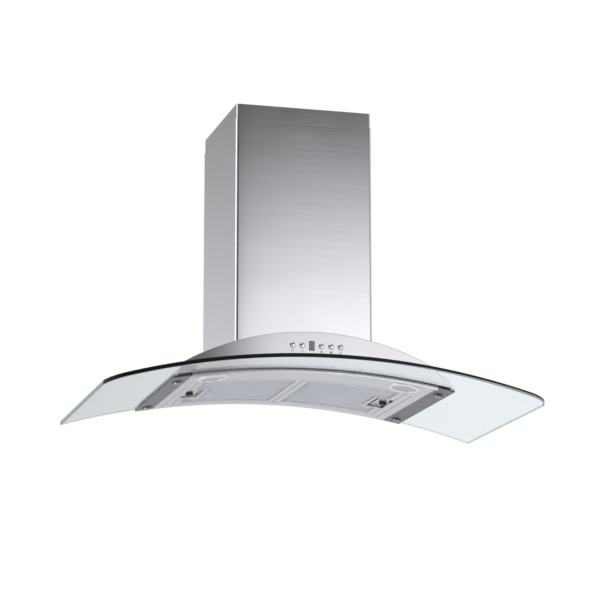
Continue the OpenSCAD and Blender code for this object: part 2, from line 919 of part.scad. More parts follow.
ceiling_plate();
upper_uprights();
upper_chimney();
lower_uprights();
frame_bolts();
lower_chimney();
cover_screws();
mounting_ring();
blower_box();
outlet_collar();
damper_pin();
damper_left();
damper_right();
scroll_housing();
inlet_ring_left();
inlet_ring_right();
impeller();
motor_shaft();
motor();
motor_bracket();
capacitor();
terminal_box();
cable_gland();
body_shell();
front_panel();
rear_panel();
glass_canopy();
gasket_upper();
gasket_lower();
clamp_strip_left();
clamp_strip_right();
glass_bolts();
cap_nuts();
underside_tray();
filter_frame_left();
filter_mesh_left();
latch_left();
latch_knob_left();
filter_frame_right();
filter_mesh_right();
latch_right();
latch_knob_right();
lamp_bezel_left();
lamp_lens_left();
lamp_cup_left();
lamp_bezel_right();
lamp_lens_right();
lamp_cup_right();
lamp_transformer();
control_housing();
button_guide();
control_board();
display_module();
display_window();
button_1();
button_2();
button_3();
button_4();
button_5();
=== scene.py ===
"""Looks of a ceiling-hung range hood with an arched glass canopy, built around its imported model.

Everything is in metres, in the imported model's own frame: the origin is on the ceiling, X runs along
the width of the glass, -Y points to the cook and Z points up.
"""

import logging
import math
from collections.abc import Callable, Iterable, Sequence
from dataclasses import dataclass, replace
from enum import Enum
from functools import cached_property

import bmesh
import bpy
from mathutils import Matrix, Vector


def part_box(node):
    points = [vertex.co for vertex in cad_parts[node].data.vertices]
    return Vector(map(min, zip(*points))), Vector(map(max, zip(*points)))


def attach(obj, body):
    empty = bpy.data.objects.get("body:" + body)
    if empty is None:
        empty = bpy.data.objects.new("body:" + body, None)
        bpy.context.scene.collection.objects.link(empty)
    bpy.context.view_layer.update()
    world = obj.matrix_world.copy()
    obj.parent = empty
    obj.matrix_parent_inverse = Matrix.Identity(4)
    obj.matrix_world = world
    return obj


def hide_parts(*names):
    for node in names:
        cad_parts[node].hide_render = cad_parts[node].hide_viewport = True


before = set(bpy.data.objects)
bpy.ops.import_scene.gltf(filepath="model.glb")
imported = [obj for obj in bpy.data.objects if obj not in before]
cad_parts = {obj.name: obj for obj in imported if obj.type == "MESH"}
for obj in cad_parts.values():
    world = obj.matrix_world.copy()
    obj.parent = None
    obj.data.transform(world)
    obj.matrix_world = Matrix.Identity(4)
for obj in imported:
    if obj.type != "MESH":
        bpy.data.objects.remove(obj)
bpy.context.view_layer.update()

log = logging.getLogger("hood")

MM = 0.001
Point = tuple[float, float, float]
Colour = tuple[float, float, float]
Ring = list[bmesh.types.BMVert]
Corner = tuple[float, float]                           # radius and height, or two places across
Socket = bpy.types.NodeSocket


class Grain(Enum):
    """Which way the brushing of a sheet runs."""

    ACROSS = "across"
    DEEP = "deep"


class Body(Enum):
    """The two bodies that most pieces ride on."""

    CEILING = "ceiling_section"
    CANOPY = "canopy"


class Side(Enum):
    """Left is -X, right is +X."""

    LEFT = -1
    RIGHT = 1

    @property
    def word(self) -> str:
        """The side's name as the parts spell it."""
        return self.name.lower()


# ---------------------------------------------------------------- finishes

MIX_FACTOR, MIX_A, MIX_B, MIX_RESULT = 0, 6, 7, 2      # sockets of a mix of colours
LEVEL_A, LEVEL_B = 2, 3                                # sockets of a mix of plain values


@dataclass(frozen=True)
class Noise:
    """A cloudy pattern: repeats per metre along X, Y and Z, octaves and warp."""

    scale: Point
    detail: float = 2.0
    warp: float = 0.0


class NodeSheet:
    """Adds and links the nodes of one material or world."""

    def __init__(self, owner: bpy.types.Material | bpy.types.World) -> None:
        """Turns the owner's nodes on."""
        owner.use_nodes = True
        self.owner = owner
        self.tree = owner.node_tree
        self.shader = self.tree.nodes.get("Principled BSDF")

    def feed(self, socket: Socket, value: object) -> None:
        """Links a socket to another one, or gives it a plain value."""
        if isinstance(value, Socket):
            self.tree.links.new(value, socket)
        else:
            socket.default_value = value

    def add(self, kind: str, inputs: dict[str | int, object] | None = None,
            **settings: object) -> bpy.types.Node:
        """Adds a node.

        Args:
            kind: Its type, without the prefix that all of them share.
            inputs: What its sockets get, by name or number.
            **settings: Its properties by name.

        Returns:
            The node.
        """
        node = self.tree.nodes.new(f"ShaderNode{kind}")
        for key, value in settings.items():
            setattr(node, key, value)
        for key, value in (inputs or {}).items():
            self.feed(node.inputs[key], value)
        return node

    def set(self, **values: object) -> None:
        """Feeds the surface shader's sockets; underscores stand for blanks in their names."""
        for key, value in values.items():
            self.feed(self.shader.inputs[key.replace("_", " ")], value)

    def here(self, kind: str = "Object") -> Socket:
        """The coordinates of the shaded point."""
        return self.add("TexCoord").outputs[kind]

    def mapped(self, **changes: object) -> Socket:
        """The part's own coordinates moved, turned and scaled."""
        return self.add("Mapping", {"Vector": self.here(), **changes}).outputs["Vector"]

    def noise(self, pattern: Noise) -> Socket:
        """The value of a pattern over the part's own coordinates."""
        return self.add("TexNoise", {
            "Vector": self.mapped(Scale=pattern.scale), "Scale": 1.0, "Detail": pattern.detail,
            "Distortion": pattern.warp}).outputs["Fac"]

    def spread(self, source: Socket, low: float, high: float, start: float = 0.3, end: float = 0.7,
               smooth: bool = False) -> Socket:
        """Maps a value between two limits.

        Args:
            source: The value that is mapped.
            low: Result at start.
            high: Result at end.
            start: Lower end of the source's range.
            end: Upper end of the source's range.
            smooth: Whether the step between the limits is rounded.

        Returns:
            The mapped value.
        """
        return self.add("MapRange", {
            "Value": source, "From Min": start, "From Max": end, "To Min": low, "To Max": high,
        }, interpolation_type="SMOOTHSTEP" if smooth else "LINEAR").outputs["Result"]

    def math(self, operation: str, first: Socket, second: Socket) -> Socket:
        """Two values joined by an operation."""
        return self.add("Math", {0: first, 1: second}, operation=operation).outputs[0]

    def blend(self, factor: Socket, first: Colour | Socket, second: Colour | Socket) -> Socket:
        """A colour that runs from the first to the second with the factor."""
        first, second = (c if isinstance(c, Socket) else (*c, 1.0) for c in (first, second))
        return self.add("Mix", {MIX_FACTOR: factor, MIX_A: first, MIX_B: second},
                        data_type="RGBA").outputs[MIX_RESULT]

    def shades(self, factor: Socket, tint: Colour, low: float, high: float) -> None:
        """Colours the surface between two shades of a tint."""
        self.set(Base_Color=self.blend(factor, shade(tint, low), shade(tint, high)))

    def relief(self, height: Socket, strength: float, depth: float) -> None:
        """Adds a bump whose height runs from 0 to 1 and whose depth is in metres."""
        bump = self.add("Bump", {"Height": height, "Strength": strength, "Distance": depth})
        self.set(Normal=bump.outputs["Normal"])


def shade(colour: Colour, factor: float) -> Colour:
    """The colour made darker or lighter by a factor."""
    return tuple(min(1.0, c * factor) for c in colour)


@dataclass(frozen=True)
class Finish:
    """A surface finish that makes its material once and shares it."""

    name: str

    def material(self) -> bpy.types.Material:
        """The finish's material, made on first use."""
        title = f"finish_{self.name}"
        made = bpy.data.materials.get(title)
        if made is None:
            made = bpy.data.materials.new(title)
            self.make(NodeSheet(made))
        return made

    def make(self, sheet: NodeSheet) -> None:
        """Fills in the material. Each finish has its own way."""
        raise NotImplementedError


@dataclass(frozen=True)
class Surface:
    """How the colour, gloss and relief of one kind of surface vary."""

    clouds: Noise
    shades: tuple[float, float]
    gloss: tuple[float, float] | None = None
    grain: Noise | None = None
    cloudy_gloss: bool = False
    gloss_range: tuple[float, float] = (0.3, 0.7)
    relief: tuple[float, float] | None = None
    settings: tuple[tuple[str, object], ...] = ()


class Kind(Enum):
    """The kinds of surface that differ only in their patterns."""

    PLATED = Surface(Noise((120.0,) * 3, 2.0, 0.6), (0.86, 1.1), (-0.06, 0.08), Noise((1400.0,) * 3),
                     cloudy_gloss=True, relief=(0.15, 0.00004), settings=(("Metallic", 1.0),))
    CHROME = Surface(Noise((60.0, 60.0, 400.0), 4.0, 0.5), (0.96, 1.0), (0.0, 0.05),
                     settings=(("Metallic", 1.0),))
    SATIN_PAINT = Surface(Noise((35.0,) * 3, 3.0), (0.92, 1.08), (-0.03, 0.05), Noise((900.0,) * 3),
                          relief=(0.2, 0.00005), settings=(("Coat_Weight", 0.25), ("Coat_Roughness", 0.2)))
    PLASTIC = Surface(Noise((50.0,) * 3), (0.9, 1.12), (-0.05, 0.07), Noise((2600.0,) * 3),
                      relief=(0.25, 0.00004))
    RUBBER = Surface(Noise((80.0, 20.0, 80.0), 4.0), (1.0, 1.8), (0.0, 0.2))
    CLEAR_GLASS = Surface(Noise((14.0, 30.0, 14.0), 4.0, 0.8), (1.0, 1.015), (0.0, 0.02),
                          gloss_range=(0.4, 0.8), settings=(("Transmission_Weight", 1.0), ("IOR", 1.5)))
    LAMP_GLASS = Surface(Noise((1800.0,) * 3), (0.95, 1.0), (0.0, 0.12), relief=(0.2, 0.00005),
                         settings=(("Transmission_Weight", 0.55), ("IOR", 1.45)))
    DISPLAY_GLASS = Surface(Noise((240.0,) * 3), (1.0, 1.25), (0.0, 0.06),
                            settings=(("Coat_Weight", 0.8), ("Coat_Roughness", 0.04)))
    INK = Surface(Noise((1500.0,) * 3), (1.0, 1.3))
    FLOOR = Surface(Noise((0.8,) * 3), (0.98, 1.0), settings=(
        ("Emission_Color", (0.97, 0.98, 1.0, 1.0)), ("Emission_Strength", 0.50)))


@dataclass(frozen=True)
class Mottled(Finish):
    """A finish of one kind in its own tint, gloss and size of cloud."""

    kind: Kind
    tint: Colour
    roughness: float
    cloud_scale: float | None = None

    def make(self, sheet: NodeSheet) -> None:
        """Clouds in the colour, and grain or clouds in the gloss and relief."""
        surface = self.kind.value
        clouds = surface.clouds
        if self.cloud_scale:
            clouds = replace(clouds, scale=(self.cloud_scale,) * 3)
        patches = sheet.noise(clouds)
        grain = sheet.noise(surface.grain) if surface.grain else patches
        sheet.shades(sheet.spread(patches, 0.0, 1.0), self.tint, *surface.shades)
        sheet.set(Roughness=self.roughness, **dict(surface.settings))
        if surface.gloss:
            low, high = (self.roughness + step for step in surface.gloss)
            source = patches if surface.cloudy_gloss else grain
            sheet.set(Roughness=sheet.spread(source, low, high, *surface.gloss_range))
        if surface.relief:
            sheet.relief(grain, *surface.relief)


@dataclass(frozen=True)
class BrushedSteel(Finish):
    """Steel sheet with fine parallel brushing, faint long streaks and cloudy gloss."""

    tint: Colour
    roughness: float
    grain: Grain = Grain.ACROSS
    stretch: float = 0.0
    contrast: float = 0.05
    along: float = 3.0
    streak_along: float = 1.8
    fine: float = 3200.0
    wide: float = 260.0

    def make(self, sheet: NodeSheet) -> None:
        """Fine lines at about 0.3 mm, streaks at 3 mm and clouds at 80 mm."""
        patterns = []
        for length, width in ((self.along, self.fine), (self.streak_along, self.wide)):
            patterns.append({Grain.ACROSS: (length, length, width),
                             Grain.DEEP: (width, length, width)}[self.grain])
        lines = sheet.noise(Noise(patterns[0], 2.0))
        streaks = sheet.noise(Noise(patterns[1], 3.0))
        clouds = sheet.noise(Noise((9.0,) * 3, 3.0, 0.4))
        brushing = sheet.math("ADD", sheet.spread(lines, 0.0, 0.45), sheet.spread(streaks, 0.0, 0.55))
        sheet.shades(brushing, self.tint, 1 - self.contrast, 1 + self.contrast)
        sheet.set(Metallic=1.0, Anisotropic=self.stretch, Anisotropic_Rotation=0.25, Roughness=sheet.math(
            "ADD", sheet.spread(brushing, -0.03, 0.03, 0.0, 1.0),
            sheet.spread(clouds, self.roughness - 0.02, self.roughness + 0.02)))
        sheet.relief(brushing, 0.12, 0.00004)
        if self.stretch > 0 and self.grain is Grain.ACROSS:
            tangent = sheet.add("Tangent", direction_type="RADIAL", axis="Z")
            sheet.set(Tangent=tangent.outputs["Tangent"])


@dataclass(frozen=True)
class PaintedGlassEdge(Finish):
    """Ground and polished edge of the glass, coloured with painted light and shade: a near-black painted
    shade, and on the front one a painted pale band in the lower part that rises rightwards.
    """

    # The default tint is a near-black painted shade for the edge.
    tint: Colour = (0.006, 0.009, 0.010)
    roughness: float = 0.22
    # Painted pale light for the front edge's lower band, and the colour of the painted glow.
    pale: Colour = (0.42, 0.48, 0.50)
    painted_pale_band: bool = False
    # Strength of a painted glow on the edge, which is no lamp.
    painted_glow: float = 0.0

    def make(self, sheet: NodeSheet) -> None:
        """A glossy band with fine grinding lines along it, in a painted shade tint and with an optional
        painted glow.
        """
        lines = sheet.noise(Noise((6.0, 6.0, 2400.0)))
        sheet.shades(sheet.spread(lines, 0.0, 1.0), self.tint, 1.0, 1.7)
        if self.painted_pale_band:
            self.paint_pale_band(sheet)
        sheet.set(Roughness=sheet.spread(lines, self.roughness, self.roughness + 0.1),
                  Specular_IOR_Level=0.1, Emission_Color=(*self.pale, 1.0), Emission_Strength=self.painted_glow)

    def paint_pale_band(self, sheet: NodeSheet) -> None:
        """Lays the painted dark shade over a painted pale light band, down to a line that rises to the right.

        Args:
            sheet: The material's nodes, whose colour is already linked.
        """
        dark = sheet.shader.inputs["Base Color"].links[0].from_socket
        flat = sheet.mapped(Location=(0.0, 0.0, -BEND.axis_z), Scale=(1.0, 0.0, 1.0))
        radius = sheet.add("VectorMath", {0: flat}, operation="LENGTH").outputs["Value"]
        x = sheet.add("SeparateXYZ", {"Vector": sheet.here()}).outputs["X"]
        depth = sheet.spread(radius, 0.0, 1.0, BEND.glass_r - BEND.glass_t, BEND.glass_r)
        above = sheet.math("SUBTRACT", depth, sheet.spread(x, -0.05, 0.5, 0.0, 0.36))
        # Painted pale light below the line, painted dark shade above it.
        sheet.set(Base_Color=sheet.blend(sheet.spread(above, 0.0, 1.0, -0.05, 0.05), self.pale, dark))


@dataclass(frozen=True)
class WovenAluminium(Finish):
    """Aluminium foil mesh seen as one sheet, with a diamond weave in relief."""

    tint: Colour
    pitch: float = 0.003
    slant: float = 35.0

    def make(self, sheet: NodeSheet) -> None:
        """Crossed waves for the weave over bright metal."""
        heights = []
        for turn in (math.radians(self.slant), math.radians(-self.slant)):
            crossed = sheet.mapped(Rotation=(0, 0, turn), Scale=(1 / self.pitch,) * 3)
            heights.append(sheet.add("TexWave", {"Vector": crossed, "Scale": 0.3}, wave_type="BANDS",
                                     bands_direction="X").outputs["Fac"])
        weave = sheet.math("MAXIMUM", *heights)
        sheet.shades(weave, self.tint, 0.88, 1.04)
        sheet.relief(weave, 0.2, 0.0002)
        sheet.set(Metallic=0.75, Roughness=0.42)


@dataclass(frozen=True)
class Glow(Finish):
    """Cloth of a soft light, graded in height and towards one side."""

    level: float = 1.85
    dim: float = 0.03
    full_z: float = -0.24
    dim_z: float = 0.47
    edge_x0: float = 0.13
    edge_x1: float = 0.23
    slow: float = 0.86
    low: float = 0.58
    slow_width: float = 0.35
    foot: tuple[float, float] = (-0.62, -0.38)

    def make(self, sheet: NodeSheet) -> None:
        """Light that fades upwards, at its foot and towards the left edge."""
        x, _, z = sheet.add("SeparateXYZ", {"Vector": sheet.here()}).outputs
        rise = sheet.spread(z, self.level, self.dim, self.full_z, self.dim_z)
        foot = sheet.spread(z, self.low, 1.0, *self.foot)
        side = sheet.spread(x, 0.12, 1.0, self.edge_x0, self.edge_x1)
        slow = sheet.spread(x, self.slow, 1.0, self.edge_x1, self.edge_x1 + self.slow_width)
        strength = sheet.math("MULTIPLY", sheet.math("MULTIPLY", rise, foot),
                              sheet.math("MULTIPLY", side, slow))
        sheet.set(Base_Color=(0.0, 0.0, 0.0, 1.0), Emission_Color=(1.0, 1.0, 1.0, 1.0), Roughness=1.0,
                  Emission_Strength=strength)


CHIMNEY_STEEL = BrushedSteel("chimney_steel", (0.66, 0.655, 0.69), 0.20, stretch=0.5)
UPPER_STEEL = BrushedSteel("upper_steel", (0.64, 0.635, 0.665), 0.21, stretch=0.5)
BODY_STEEL = BrushedSteel("body_steel", (0.485, 0.48, 0.505), 0.17, stretch=0.3)
DECK_STEEL = BrushedSteel("deck_steel", (0.66, 0.66, 0.69), 0.28, Grain.DEEP)
TRAY_STEEL = BrushedSteel("tray_steel", (0.66, 0.665, 0.69), 0.26)
FILTER_ALUMINIUM = BrushedSteel("filter_aluminium", (0.66, 0.667, 0.70), 0.30)
LATCH_STEEL = BrushedSteel("latch_steel", (0.60, 0.63, 0.56), 0.30, Grain.DEEP)
ZINC = Mottled("zinc_steel", Kind.PLATED, (0.55, 0.56, 0.57), 0.38)
FASTENER = Mottled("fastener_steel", Kind.PLATED, (0.50, 0.50, 0.52), 0.30, 300.0)
STRAND = Mottled("mesh_strand", Kind.PLATED, (0.90, 0.91, 0.95), 0.34, 200.0)
MESH_CORE = WovenAluminium("mesh_core", (0.90, 0.91, 0.955))
CAP_CHROME = Mottled("cap_chrome", Kind.CHROME, (0.34, 0.35, 0.37), 0.06)
BUTTON_CHROME = Mottled("button_chrome", Kind.CHROME, (0.86, 0.86, 0.88), 0.05)
RING_CHROME = Mottled("ring_chrome", Kind.CHROME, (0.45, 0.45, 0.46), 0.10)
LAMP_CHROME = Mottled("lamp_chrome", Kind.CHROME, (0.82, 0.82, 0.84), 0.10)
STRIP_PAINT = Mottled("strip_paint", Kind.SATIN_PAINT, (0.082, 0.088, 0.108), 0.42)
GREY_EDGE_BAND = Mottled("grey_edge_band", Kind.SATIN_PAINT, (0.34, 0.345, 0.37), 0.42)
MOTOR_PAINT = Mottled("motor_paint", Kind.SATIN_PAINT, (0.09, 0.095, 0.10), 0.45)
BLACK_PLASTIC = Mottled("black_plastic", Kind.PLASTIC, (0.03, 0.03, 0.032), 0.42)
KNOB_PLASTIC = Mottled("knob_plastic", Kind.PLASTIC, (0.012, 0.012, 0.013), 0.34)
WHEEL_PLASTIC = Mottled("wheel_plastic", Kind.PLASTIC, (0.045, 0.046, 0.05), 0.5)
WHITE_PLASTIC = Mottled("white_plastic", Kind.PLASTIC, (0.70, 0.70, 0.67), 0.45)
BOARD_RESIN = Mottled("board_resin", Kind.PLASTIC, (0.02, 0.12, 0.05), 0.35)
RUBBER = Mottled("gasket_rubber", Kind.RUBBER, (0.02, 0.02, 0.021), 0.6)
CANOPY_GLASS = Mottled("canopy_glass", Kind.CLEAR_GLASS, (0.880, 0.938, 0.962), 0.01)
# The front edge is painted near-black as shade, with a painted pale band low down towards the right.
FRONT_EDGE_PAINTED = PaintedGlassEdge("glass_front_edge", painted_pale_band=True)
# The left edge and the cut-out's walls are painted mid-grey as shade.
SIDE_EDGE_PAINTED_SHADE = PaintedGlassEdge("glass_side_edge_painted_shade", (0.16, 0.19, 0.20), 0.2)
# The right and back edges are painted pale and given a painted glow, though no lamp is there.
EDGE_PAINTED_GLOW = PaintedGlassEdge("glass_edge_painted_glow", (0.20, 0.26, 0.26), 0.2, (0.68, 0.82, 0.82), painted_glow=0.40)
LAMP_LENS = Mottled("lamp_glass", Kind.LAMP_GLASS, (0.86, 0.88, 0.86), 0.22)
DISPLAY = Mottled("display_glass", Kind.DISPLAY_GLASS, (0.11, 0.098, 0.155), 0.10)
DISPLAY_MARK = Mottled("display_mark", Kind.INK, (0.40, 0.36, 0.50), 0.5)
ICON_INK = Mottled("icon_ink", Kind.INK, (0.07, 0.07, 0.075), 0.5)
FLOOR_PAINT = Mottled("pale_floor", Kind.FLOOR, (0.84, 0.84, 0.84), 0.8)
GRADED_GLOW = Glow("graded_glow")
STRIP_GLOW = Glow("strip_glow", 1.7, 1.5, 0.0, 0.8, -3.0, -2.0, 1.0, 1.0)


# ---------------------------------------------------------------- mesh tools


def add_object(name: str, data: bpy.types.ID) -> bpy.types.Object:
    """A new object of the scene."""
    made = bpy.data.objects.new(name, data)
    bpy.context.scene.collection.objects.link(made)
    return made


class MeshMaker:
    """Builds the mesh of one piece from rings of points."""

    def __init__(self) -> None:
        """Starts an empty mesh."""
        self.bm = bmesh.new()

    def ring(self, points: Iterable[Sequence[float]]) -> Ring:
        """Adds a ring of corners."""
        return [self.bm.verts.new(p) for p in points]

    def face(self, *corners: bmesh.types.BMVert, paint: int = 0) -> None:
        """Adds a face, unless its corners coincide.

        Args:
            *corners: The face's corners in order.
            paint: Number of the finish on this face.
        """
        unique = list(dict.fromkeys(corners))
        if len(unique) >= 3:
            self.bm.faces.new(unique).material_index = paint

    def mesh(self, name: str) -> bpy.types.Mesh:
        """Turns what was built into a mesh with its faces looking out."""
        bmesh.ops.recalc_face_normals(self.bm, faces=self.bm.faces)
        made = bpy.data.meshes.new(name)
        self.bm.to_mesh(made)
        self.bm.free()
        return made

    def bridge(self, first: Ring, second: Ring, closed: bool = True, paint: int = 0) -> None:
        """Joins two rings of equal length with a band of faces."""
        count = len(first)
        for i in range(count if closed else count - 1):
            j = (i + 1) % count
            self.face(first[i], first[j], second[j], second[i], paint=paint)

    def loft(self, rings: Sequence[Ring], closed: bool = True, looped: bool = False,
             capped: bool = False) -> None:
        """Joins a row of rings.

        Args:
            rings: The rings in order.
            closed: Whether each ring closes on itself.
            looped: Whether the last ring joins the first.
            capped: Whether the first and last rings are filled.
        """
        for first, second in zip(rings, rings[1:]):
            self.bridge(first, second, closed)
        if looped:
            self.bridge(rings[-1], rings[0], closed)
        if capped:
            self.face(*reversed(rings[0]))
            self.face(*rings[-1])

    def revolve(self, profile: Sequence[Corner], place: Matrix, steps: int = 48,
                looped: bool = False) -> None:
        """Turns a profile about the local Z axis; a profile that starts or ends at radius 0 is closed there.

        Args:
            profile: Radius and height of each corner.
            place: Where the axis stands.
            steps: Corners round the axis.
            looped: Whether the profile closes on itself.
        """
        rings = []
        for radius, height in profile:
            if radius < 1e-9:
                rings.append([self.bm.verts.new(place @ Vector((0, 0, height)))] * steps)
                continue
            rings.append(self.ring(
                place @ Vector((radius * math.cos(2 * math.pi * k / steps),
                                radius * math.sin(2 * math.pi * k / steps), height))
                for k in range(steps)))
        self.loft(rings, looped=looped)

    @classmethod
    def lathed(cls, profile: Sequence[Corner], place: Matrix, steps: int = 48,
               looped: bool = False) -> "MeshMaker":
        """The mesh of one profile, turned as revolve does it."""
        maker = cls()
        maker.revolve(profile, place, steps, looped)
        return maker

    @classmethod
    def swept(cls, sections: Iterable[Iterable[Point]]) -> "MeshMaker":
        """The mesh of a bar through a row of sections, closed at both ends."""
        maker = cls()
        maker.loft([maker.ring(section) for section in sections], capped=True)
        return maker

    def box(self, low: Point, high: Point, place: Matrix | None = None) -> None:
        """Adds a box between two corners."""
        place = place or Matrix.Identity(4)
        rings = [self.ring(place @ Vector(p) for p in (
            (low[0], low[1], z), (high[0], low[1], z), (high[0], high[1], z), (low[0], high[1], z)))
            for z in (low[2], high[2])]
        self.loft(rings, capped=True)


def finish_piece(name: str, maker: MeshMaker, finishes: Finish | Sequence[Finish], body: Body | str,
                 replaces: Sequence[str] = (), sharp: float = 35.0,
                 bevel: float = 0.0) -> bpy.types.Object:
    """Turns a made mesh into a piece of the hood.

    Args:
        name: The piece's name.
        maker: Its mesh.
        finishes: Its finish, or several by number.
        body: The body that it rides on.
        replaces: Nodes that it stands for.
        sharp: Edges with more than this angle in degrees stay sharp.
        bevel: Width of a rounding on sharp edges.

    Returns:
        The piece.
    """
    bmesh.ops.remove_doubles(maker.bm, verts=maker.bm.verts, dist=1e-7)
    mesh = maker.mesh(name)
    piece = add_object(name, mesh)
    for finish in [finishes] if isinstance(finishes, Finish) else finishes:
        mesh.materials.append(finish.material())
    smooth(mesh, sharp)
    if bevel:
        rounding = piece.modifiers.new("rounded_edges", "BEVEL")
        rounding.width = bevel
        rounding.segments = 2
        rounding.limit_method = "ANGLE"
        rounding.angle_limit = math.radians(sharp)
    even_normals(piece)
    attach(piece, body.value if isinstance(body, Body) else body)
    if replaces:
        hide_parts(*replaces)
    log.info("piece %s with %d faces", name, len(mesh.polygons))
    return piece


def smooth(mesh: bpy.types.Mesh, sharp: float) -> None:
    """Smooths all faces but for edges above an angle in degrees."""
    mesh.polygons.foreach_set("use_smooth", [True] * len(mesh.polygons))
    mesh.set_sharp_from_angle(angle=math.radians(sharp))


def even_normals(piece: bpy.types.Object) -> None:
    """Lets large faces keep their own direction beside narrow roundings."""
    evening = piece.modifiers.new("even_normals", "WEIGHTED_NORMAL")
    evening.keep_sharp = True
    evening.weight = 100


def carve(piece: bpy.types.Object, cutter: MeshMaker, sharp: float = 35.0) -> None:
    """Cuts a made mesh out of a piece for good.

    Args:
        piece: The piece that is cut.
        cutter: The mesh that is taken away.
        sharp: Edges with more than this angle in degrees stay sharp.
    """
    piece.modifiers.clear()
    mesh = cutter.mesh("cutter")
    tool = add_object("cutter", mesh)
    cut = piece.modifiers.new("cut", "BOOLEAN")
    cut.operation = "DIFFERENCE"
    cut.solver = "EXACT"
    cut.object = tool
    bpy.context.view_layer.update()
    shape = piece.evaluated_get(bpy.context.evaluated_depsgraph_get())
    made = bpy.data.meshes.new_from_object(shape)
    piece.modifiers.remove(cut)
    old, piece.data = piece.data, made
    made.name = piece.name
    smooth(made, sharp)
    even_normals(piece)
    bpy.data.meshes.remove(old)
    bpy.data.objects.remove(tool)
    bpy.data.meshes.remove(mesh)


def dress(finish: Finish, *nodes: str) -> None:
    """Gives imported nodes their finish.

    Args:
        finish: The finish.
        *nodes: The nodes' names.
    """
    for node in nodes:
        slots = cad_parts[node].data.materials
        slots.clear()
        slots.append(finish.material())
        log.info("node %s in %s", node, finish.name)


def turned(x: float, y: float, z: float, towards: str) -> Matrix:
    """A place at a point whose local Z looks along an axis.

    Args:
        x: Place along X.
        y: Place along Y.
        z: Place along Z.
        towards: "+Y" or "-Y".

    Returns:
        The place.
    """
    angle = {"-Y": 90, "+Y": -90}[towards]
    return Matrix.Translation((x, y, z)) @ Matrix.Rotation(math.radians(angle), 4, "X")


def steps_between(low: float, high: float, count: int) -> list[float]:
    """Evenly spaced values with both ends."""
    return [low + (high - low) * i / count for i in range(count + 1)]


# ---------------------------------------------------------------- the shared shape of the bent layers


@dataclass(frozen=True)
class Bend:
    """The cylinder about which glass, tray and filters are bent."""

    glass_r: float = 1.525
    glass_t: float = 0.008
    plate_out_r: float = 1.5155
    under_r: float = 1.5135
    seat_r: float = 1.526

    @cached_property
    def axis_z(self) -> float:
        """Height of the bend's axis."""
        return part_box("glass_canopy")[1].z - self.glass_r

    def height(self, x: float, radius: float) -> float:
        """Height of a bent layer at x."""
        return self.axis_z + math.sqrt(radius * radius - x * x)

    def place(self, x: float, y: float, radius: float) -> Matrix:
        """A place on a bent layer with its local Z square to the layer."""
        angle = math.asin(x / radius)
        return (Matrix.Translation((0, y, self.axis_z)) @ Matrix.Rotation(angle, 4, "Y")
                @ Matrix.Translation((0, 0, radius)))


BEND = Bend()


# ---------------------------------------------------------------- studio


